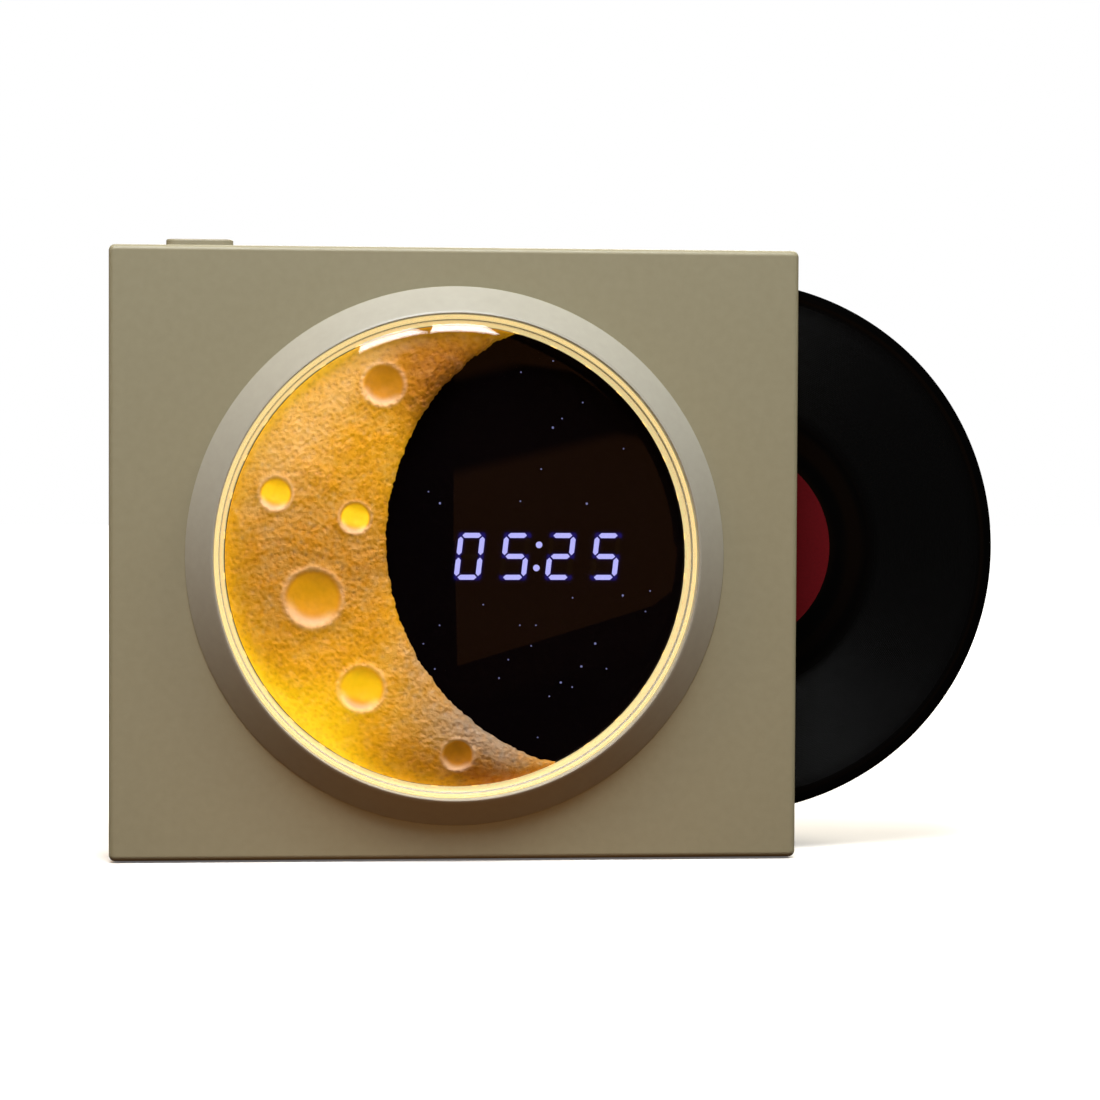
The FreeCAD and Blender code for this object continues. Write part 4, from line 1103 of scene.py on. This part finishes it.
@dataclass
class NightPanel:
    """Black panel behind the digits, with the digits' halo in it."""

    radius: float = 74.25
    slant: float = math.tan(math.radians(6.5))
    digit_height: float = 15.0
    digit_width: float = 8.5
    bar_width: float = 1.6
    halo_core: float = 0.6
    halo_fade: float = 0.8
    sides: int = 192
    # Fine grid under the digits; the lead is its reach left of the first digit's middle.
    grid_step: float = 0.55
    grid_width: float = 60.0
    grid_height: float = 26.0
    grid_lead: float = 8.0

    def bars(self) -> list[tuple[float, float, float, float]]:
        """Places the lit bars of the display.

        Returns:
            Middle line of each bar, as x and z from and to, in millimetres from the dial's middle.
        """
        right = (self.digit_width - self.bar_width) / 2
        top = (self.digit_height - self.bar_width) / 2
        ends = {
            "a": (-right, top, right, top), "b": (right, 0, right, top), "c": (right, -top, right, 0),
            "d": (-right, -top, right, -top), "e": (-right, -top, -right, 0), "f": (-right, 0, -right, top),
            "g": (-right, 0, right, 0),
        }
        lit = {"0": "abcdef", "2": "abdeg", "5": "acdfg"}
        found = []
        for digit, middle in zip(DIGITS, DIGIT_CENTRES):
            for bar in lit[digit]:
                x0, z0, x1, z1 = ends[bar]
                found.append((middle + x0 + z0 * self.slant, z0, middle + x1 + z1 * self.slant, z1))
        return found

    def halo(self, x: Array, z: Array) -> Array:
        """Spreads the glow of the lit bars on the panel.

        Args:
            x: Places across from the dial's middle.
            z: Places up from the dial's middle.

        Returns:
            Share of the halo at each place.
        """
        nearest = np.full(len(x), 1e3)
        for x0, z0, x1, z1 in self.bars():
            run = np.array([x1 - x0, z1 - z0])
            share = np.clip(((x - x0) * run[0] + (z - z0) * run[1]) / (run @ run), 0, 1)
            nearest = np.minimum(nearest, np.hypot(x - x0 - share * run[0], z - z0 - share * run[1]))
        return np.exp(-np.clip(nearest - self.halo_core, 0, None) / self.halo_fade)

    def build(self) -> None:
        """Makes the disc and cuts a fine grid where the halo lies."""
        disc = added(
            bpy.ops.mesh.primitive_cylinder_add, vertices=self.sides, radius=self.radius * MM,
            depth=(PANEL_BACK - PANEL_FRONT - PANEL_INSET) * MM, rotation=(math.pi / 2, 0, 0),
            location=(DIAL_X * MM, (PANEL_FRONT + PANEL_INSET + PANEL_BACK) / 2 * MM, DIAL_Z * MM))
        edit(disc)
        for index in range(round(self.grid_width / self.grid_step)):
            self.cut((DIGIT_CENTRES[0] - self.grid_lead + index * self.grid_step, 0.0), (1, 0, 0))
        for index in range(round(self.grid_height / self.grid_step)):
            self.cut((0.0, index * self.grid_step - self.grid_height / 2), (0, 0, 1))
        settle(disc, "night_panel_disc")
        smooth(disc, 30)
        points = vertices(disc)
        front = points[:, 1] < PANEL_FRONT + 0.1
        set_attribute(disc, "halo", self.halo(points[:, 0], points[:, 2] - DIAL_Z) * front)
        mount(disc, BlackAcrylic().make(), Body.CASE, "night_panel")

    def cut(self, place: Point, across: Place) -> None:
        """Cuts the whole disc by a plane through a place, given as x and height above the dial's middle."""
        on_all(bpy.ops.mesh.bisect, plane_co=(place[0] * MM, 0, (DIAL_Z + place[1]) * MM), plane_no=across)


@dataclass
class Record:
    """Small record with its two paper labels."""

    x: float = 91.2
    y: float = 5.0
    z: float = 99.9
    radius: float = 87.5
    half: float = 1.0
    hole: float = 3.63
    label_radius: float = 33.2
    label_depth: float = 0.15
    label_gap: float = 0.05
    # (radius, depth below the face) of the steps from the label to the rim.
    steps: tuple[Point, ...] = (
        (36.0, 0.0), (37.0, 0.12), (46.0, 0.12), (47.0, 0.22), (82.5, 0.22), (84.0, 0.05), (86.0, 0.0),
        (87.1, 0.25),
    )
    edge_half: float = 0.25
    spacing: float = 3.0
    groove_start: Point = (46.0, 48.0)
    groove_end: Point = (82.0, 83.5)

    def face(self) -> list[Point]:
        """Draws half of the disc's section.

        Returns:
            (radius, y) points of the front face from the hole to the edge, from the disc's middle plane.
        """
        label_edge = self.label_radius + self.label_gap
        corners = [(self.hole, -self.half + self.label_depth), (label_edge, -self.half + self.label_depth),
                   (label_edge, -self.half)]
        corners += [(radius, -self.half + depth) for radius, depth in self.steps]
        corners.append((self.radius, -self.edge_half))
        points: list[Point] = []
        for (r0, y0), (r1, y1) in zip(corners, corners[1:]):
            count = max(1, int((r1 - r0) / self.spacing))
            points += [(r0 + (r1 - r0) * i / count, y0 + (y1 - y0) * i / count) for i in range(count)]
        return points + corners[-1:]

    def build(self) -> None:
        """Turns the disc and copies its labels."""
        face = self.face()
        outline = [(r, self.y + y) for r, y in face] + [(r, self.y - y) for r, y in face[::-1]]
        disc = turned("record_pressing", outline, self.x, self.z)
        points = vertices(disc)
        radius = np.hypot(points[:, 0] - self.x, points[:, 2] - self.z)
        grooved = step_between(*self.groove_start, radius) * (1 - step_between(*self.groove_end, radius))
        set_attribute(disc, "grooved", grooved)
        mount(disc, PressedVinyl((self.x, self.y, self.z)).make(), Body.RECORD, "record_disc")
        paper = LabelPaper().make()
        for node in ("record_label_front", "record_label_back"):
            dress(node, node + "_paper", paper, Body.RECORD)


@dataclass
class Buttons:
    """Long button on top and the three rear buttons."""

    top_plastic: MouldedPlastic = MouldedPlastic("satin_button_abs", "8F8A76", "8B8672", 0.38, 0.35, 0.008)
    rear_rubber: Rubber = Rubber("grey_silicone_rubber", "5A5446", 0.6)

    def build(self) -> None:
        """Copies the buttons with smooth rounds."""
        dress("snooze_button", "snooze_button_cap", self.top_plastic.make(), Body.SNOOZE)
        rubber = self.rear_rubber.make()
        for body in (Body.DOWN, Body.UP, Body.MODE):
            node = body.value + "_button"
            dress(node, node + "_cap", rubber, body)


@dataclass
class PowerInlet:
    """Steel shell and tongue of the power inlet."""

    steel: TurnedSteel = TurnedSteel("drawn_stainless_steel", "B9B7B2", 0.25)
    nylon: MouldedPlastic = MouldedPlastic("black_moulded_nylon", "17171A", "141416", 0.5)

    def build(self) -> None:
        """Copies the shell and the tongue."""
        dress("power_inlet", "power_inlet_shell", self.steel.make(), Body.CASE)
        dress("inlet_tongue", "power_inlet_tongue", self.nylon.make(), Body.CASE)


PlainFinish = MouldedPlastic | Rubber | TurnedSteel | CircuitBoard | LitPlastic


@dataclass
class Inside:
    """Finishes of what the case holds, each with the frame nodes that wear it."""

    worn: tuple[tuple[PlainFinish, tuple[str, ...]], ...] = (
        (TurnedSteel("zinc_plated_screw_steel", "8C8E90"), ("dial_screws", "board_screws", "tray_screws")),
        (LitPlastic("star_light_pipe", "3A3C55", "9AA2E0", 0.42), ("star_pins",)),
        (LitPlastic("digit_light_pipe", "2A2A40", "B9B8FF", 1.0), ("lit_segments", "colon_dots")),
        (MouldedPlastic("smoked_light_pipe", "080605", "060504", 0.1), ("unlit_segments",)),
        (MouldedPlastic("black_moulded_abs", "1C1C1C", "181818", 0.5),
         ("panel_carrier", "display_housing", "main_board_parts", "alarm_buzzer", "snooze_switch",
          "control_switches", "battery_holder")),
        (MouldedPlastic("grey_moulded_abs", "8E8E8A", "888884", 0.5), ("dial_tray",)),
        (CircuitBoard("white_lamp_board", "E4E4DE", "D8D8D2"), ("lamp_ring_board",)),
        (CircuitBoard("green_circuit_board", "1E6B45", "185A3A"),
         ("display_board", "main_board", "snooze_board", "control_board")),
        (LitPlastic("warm_lamp_lens", "FFE9B0", "FFD27A", 1.0), ("lamp_chips",)),
        (LitPlastic("lavender_lamp_lens", "C9C8FF", "B0AEFF", 1.0), ("display_lamps",)),
        (MouldedPlastic("smooth_dark_polypropylene", "2E2E2E", "2A2A2A", 0.35),
         ("record_tray", "record_tray_lid")),
        (MouldedPlastic("shrunk_pvc_sleeve", "2C5C94", "28548A", 0.3), ("battery_cell",)),
        (Rubber("lead_insulation", "1D1D1D", 0.55), ("snooze_lead", "control_lead", "battery_lead")),
    )

    def build(self) -> None:
        """Dresses the nodes that stay."""
        for finish, nodes in self.worn:
            material = finish.make()
            for node in nodes:
                piece = frame["nodes"][node]
                if not piece.material_slots:
                    piece.data.materials.append(material)
                for slot in piece.material_slots:
                    slot.material = material
                LOG.info("%s: %s", node, finish.name)


@dataclass(frozen=True)
class SoftBox:
    """A lamp of the studio, in metres and watts."""

    name: str
    place: Place
    aim: Place
    width: float
    height: float
    power: float
    colour: str
    mirrored: bool = True

    def build(self) -> None:
        """Adds the lamp; one that isn't mirrored is kept out of mirrored and transmitted rays."""
        lamp = added(bpy.ops.object.light_add, type="AREA", location=self.place)
        lamp.name = self.name
        lamp.data.shape = "RECTANGLE"
        lamp.data.size = self.width
        lamp.data.size_y = self.height
        lamp.data.energy = self.power
        lamp.data.color = linear(self.colour)[:3]
        lamp.visible_glossy = self.mirrored
        lamp.visible_transmission = self.mirrored
        lamp.rotation_euler = (Vector(self.aim) - Vector(self.place)).to_track_quat("-Z", "Y").to_euler()


@dataclass
class Studio:
    """Floor, backdrop, lamps and camera."""

    middle: Place = (0.0, 0.0, 0.1)
    camera_mm: Place = (-60.1, -1018.0, 133.9)
    camera_pitch: float = -1.949
    camera_yaw: float = -5.149
    camera_roll: float = 0.270
    lens: float = 102.81
    # Bands of the dark room behind the camera, as the panel mirrors them.
    bands: Stops = (
        (0.10, BLACK), (0.15, ROOM_BROWN), (0.498, ROOM_BROWN), (0.523, BLACK), (0.698, BLACK),
        (0.723, ROOM_BROWN),
    )
    # How the bands lean, and the middle and half width of the lit part of the room, as shares of a ray's way.
    band_lean: float = -0.24
    room_middle: float = 0.135
    room_half: float = 0.0775
    # Lines that bound the mirrored table, in metres on the floor: x * slope + y < far, and y * lead + x > 0.
    table_slope: float = 2.42
    table_far: float = -0.539
    table_lead: float = 0.0575

    def floor(self) -> None:
        """Adds the pale floor: white to the camera but for the object's shadow, a brown table in mirrors."""
        piece = settle(added(bpy.ops.mesh.primitive_plane_add, size=8.0, location=(0, 0, 0)), "studio_floor")
        finish = Finish("pale_floor", "FFFFFF", 0.9)
        add = finish.add
        away = add("VectorMath", {0: finish.place}, operation="LENGTH")
        lift = add("MapRange", {"Value": (away, "Value")},
                   {"From Min": 0.45, "From Max": 1.1, "To Min": 0.12, "To Max": 1.0})
        lit = add("Emission", {"Strength": (lift, "Result")}, {"Color": WHITE})
        matt = add("BsdfDiffuse", values={"Color": linear("F2F2F2")})
        white = add("AddShader", {0: (lit, "Emission"), 1: (matt, "BSDF")})
        dark = add("BsdfDiffuse", values={"Color": linear("3A2412")})
        here = add("SeparateXYZ", {"Vector": finish.place})
        slant = add("Math", {0: (here, "X"), 2: (here, "Y")}, {1: self.table_slope}, operation="MULTIPLY_ADD")
        beyond = add("Math", {0: (slant, "Value")}, {1: self.table_far}, operation="LESS_THAN")
        lead = add("Math", {0: (here, "Y"), 2: (here, "X")}, {1: self.table_lead}, operation="MULTIPLY_ADD")
        aside = add("Math", {0: (lead, "Value")}, {1: 0.0}, operation="GREATER_THAN")
        table = add("Math", {0: (beyond, "Value"), 1: (aside, "Value")}, operation="MULTIPLY")
        brown = add("Emission", {"Strength": (table, "Value")}, {"Color": ROOM_BROWN})
        finish.link(finish.by_ray(dark, brown, white), finish.output, "Surface")
        wear(piece, finish.material)

    def world(self) -> None:
        """White to the camera, a brown room in mirrored rays and a low warm fill to all else."""
        world = bpy.data.worlds.new("studio_world")
        world.use_nodes = True
        bpy.context.scene.world = world
        nodes = Nodes(world.node_tree)
        add = nodes.add
        way = add("SeparateXYZ", {0: (add("TexCoord"), "Generated")})
        upward = add("MapRange", {"Value": (way, "Z")},
                     {"From Min": -0.1, "From Max": 0.3, "To Min": 0.02, "To Max": 0.39})
        level = add("MapRange", {"Value": (way, "Z")}, {"From Min": -0.1, "From Max": 0.2})
        tint = add("Mix", {0: (level, "Result")}, {6: linear("B07A48"), 7: linear("E4E2DA")},
                   data_type="RGBA")
        fill = add("Background", {"Color": (tint, 2), "Strength": (upward, "Result")})
        lean = add("Math", {0: (way, "X"), 2: (way, "Z")}, {1: self.band_lean}, operation="MULTIPLY_ADD")
        span = add("MapRange", {"Value": (lean, 0)}, {"From Min": -0.15, "From Max": 0.15})
        sides = add("Math", {0: (way, "X")}, {1: self.room_middle, 2: self.room_half}, operation="COMPARE")
        behind = add("Math", {0: (way, "Y")}, {1: 0.0}, operation="LESS_THAN")
        held = add("Math", {0: (sides, 0), 1: (behind, 0)}, operation="MULTIPLY")
        bands = add("ValToRGB", {"Fac": (span, "Result")}, stops=self.bands)
        room = add("Background", {"Color": (bands, "Color"), "Strength": (held, 0)})
        white = add("Background", values={"Color": WHITE})
        add("OutputWorld", {"Surface": nodes.by_ray(fill, room, white)})

    def lamps(self) -> tuple[SoftBox, ...]:
        """Lists the lamps; the two soft boxes draw the bright streaks on the cover's rim.

        Returns:
            The lamps, in the order that they are added.
        """
        return (
            SoftBox("soft_box_left", (-0.245, -0.50, 1.00), (-0.36, 0.0, 0.1), 0.285, 0.60, 6.6, "F8FBFF"),
            SoftBox("soft_box_right", (0.0715, -0.50, 1.00), (0.05, 0.0, 0.1), 0.249, 0.60, 7.0, "F8FBFF"),
            SoftBox("back_fill", (0.25, 1.1, 0.75), self.middle, 0.8, 0.6, 10.0, "FFF8EC"),
            SoftBox("warm_under_glow", (0.0, -0.17, 0.02), (0.0, 0.0, 0.03), 0.12, 0.03, 0.055, "FFB060",
                    False),
            SoftBox("side_fill_left", (-1.0, -0.40, 1.30), self.middle, 0.5, 0.5, 9.6, "FFD8A0", False),
            SoftBox("side_fill_right", (1.0, -0.40, 1.30), self.middle, 0.5, 0.5, 12.6, "FFF2DC", False),
        )

    def camera(self) -> None:
        """Places the camera where the photo was taken from."""
        camera = added(bpy.ops.object.camera_add, location=[c * MM for c in self.camera_mm])
        camera.name = "photo_camera"
        camera.data.lens = self.lens
        camera.data.sensor_width = 36.0
        camera.data.clip_start = 0.01
        turns = ((self.camera_yaw, "Z"), (90 + self.camera_pitch, "X"), (self.camera_roll, "Z"))
        yaw, pitch, roll = (Matrix.Rotation(math.radians(angle), 4, axis) for angle, axis in turns)
        camera.rotation_euler = (yaw @ pitch @ roll).to_euler()
        bpy.context.scene.camera = camera
        bpy.context.scene.view_settings.view_transform = "Standard"

    def build(self) -> None:
        """Builds the studio."""
        self.floor()
        self.world()
        for lamp in self.lamps():
            lamp.build()
        self.camera()


def main() -> None:
    """Builds the whole clock and its studio in order."""
    logging.basicConfig(level=logging.INFO, format="%(name)s: %(message)s")
    for part in (Studio(), Case(), Bezel(), LightRing(), DialCover(), Moon(), NightPanel(),
                 Record(), Buttons(), PowerInlet(), Inside()):
        LOG.info("building %s", type(part).__name__)
        part.build()


if __name__ == "__main__":
    main()
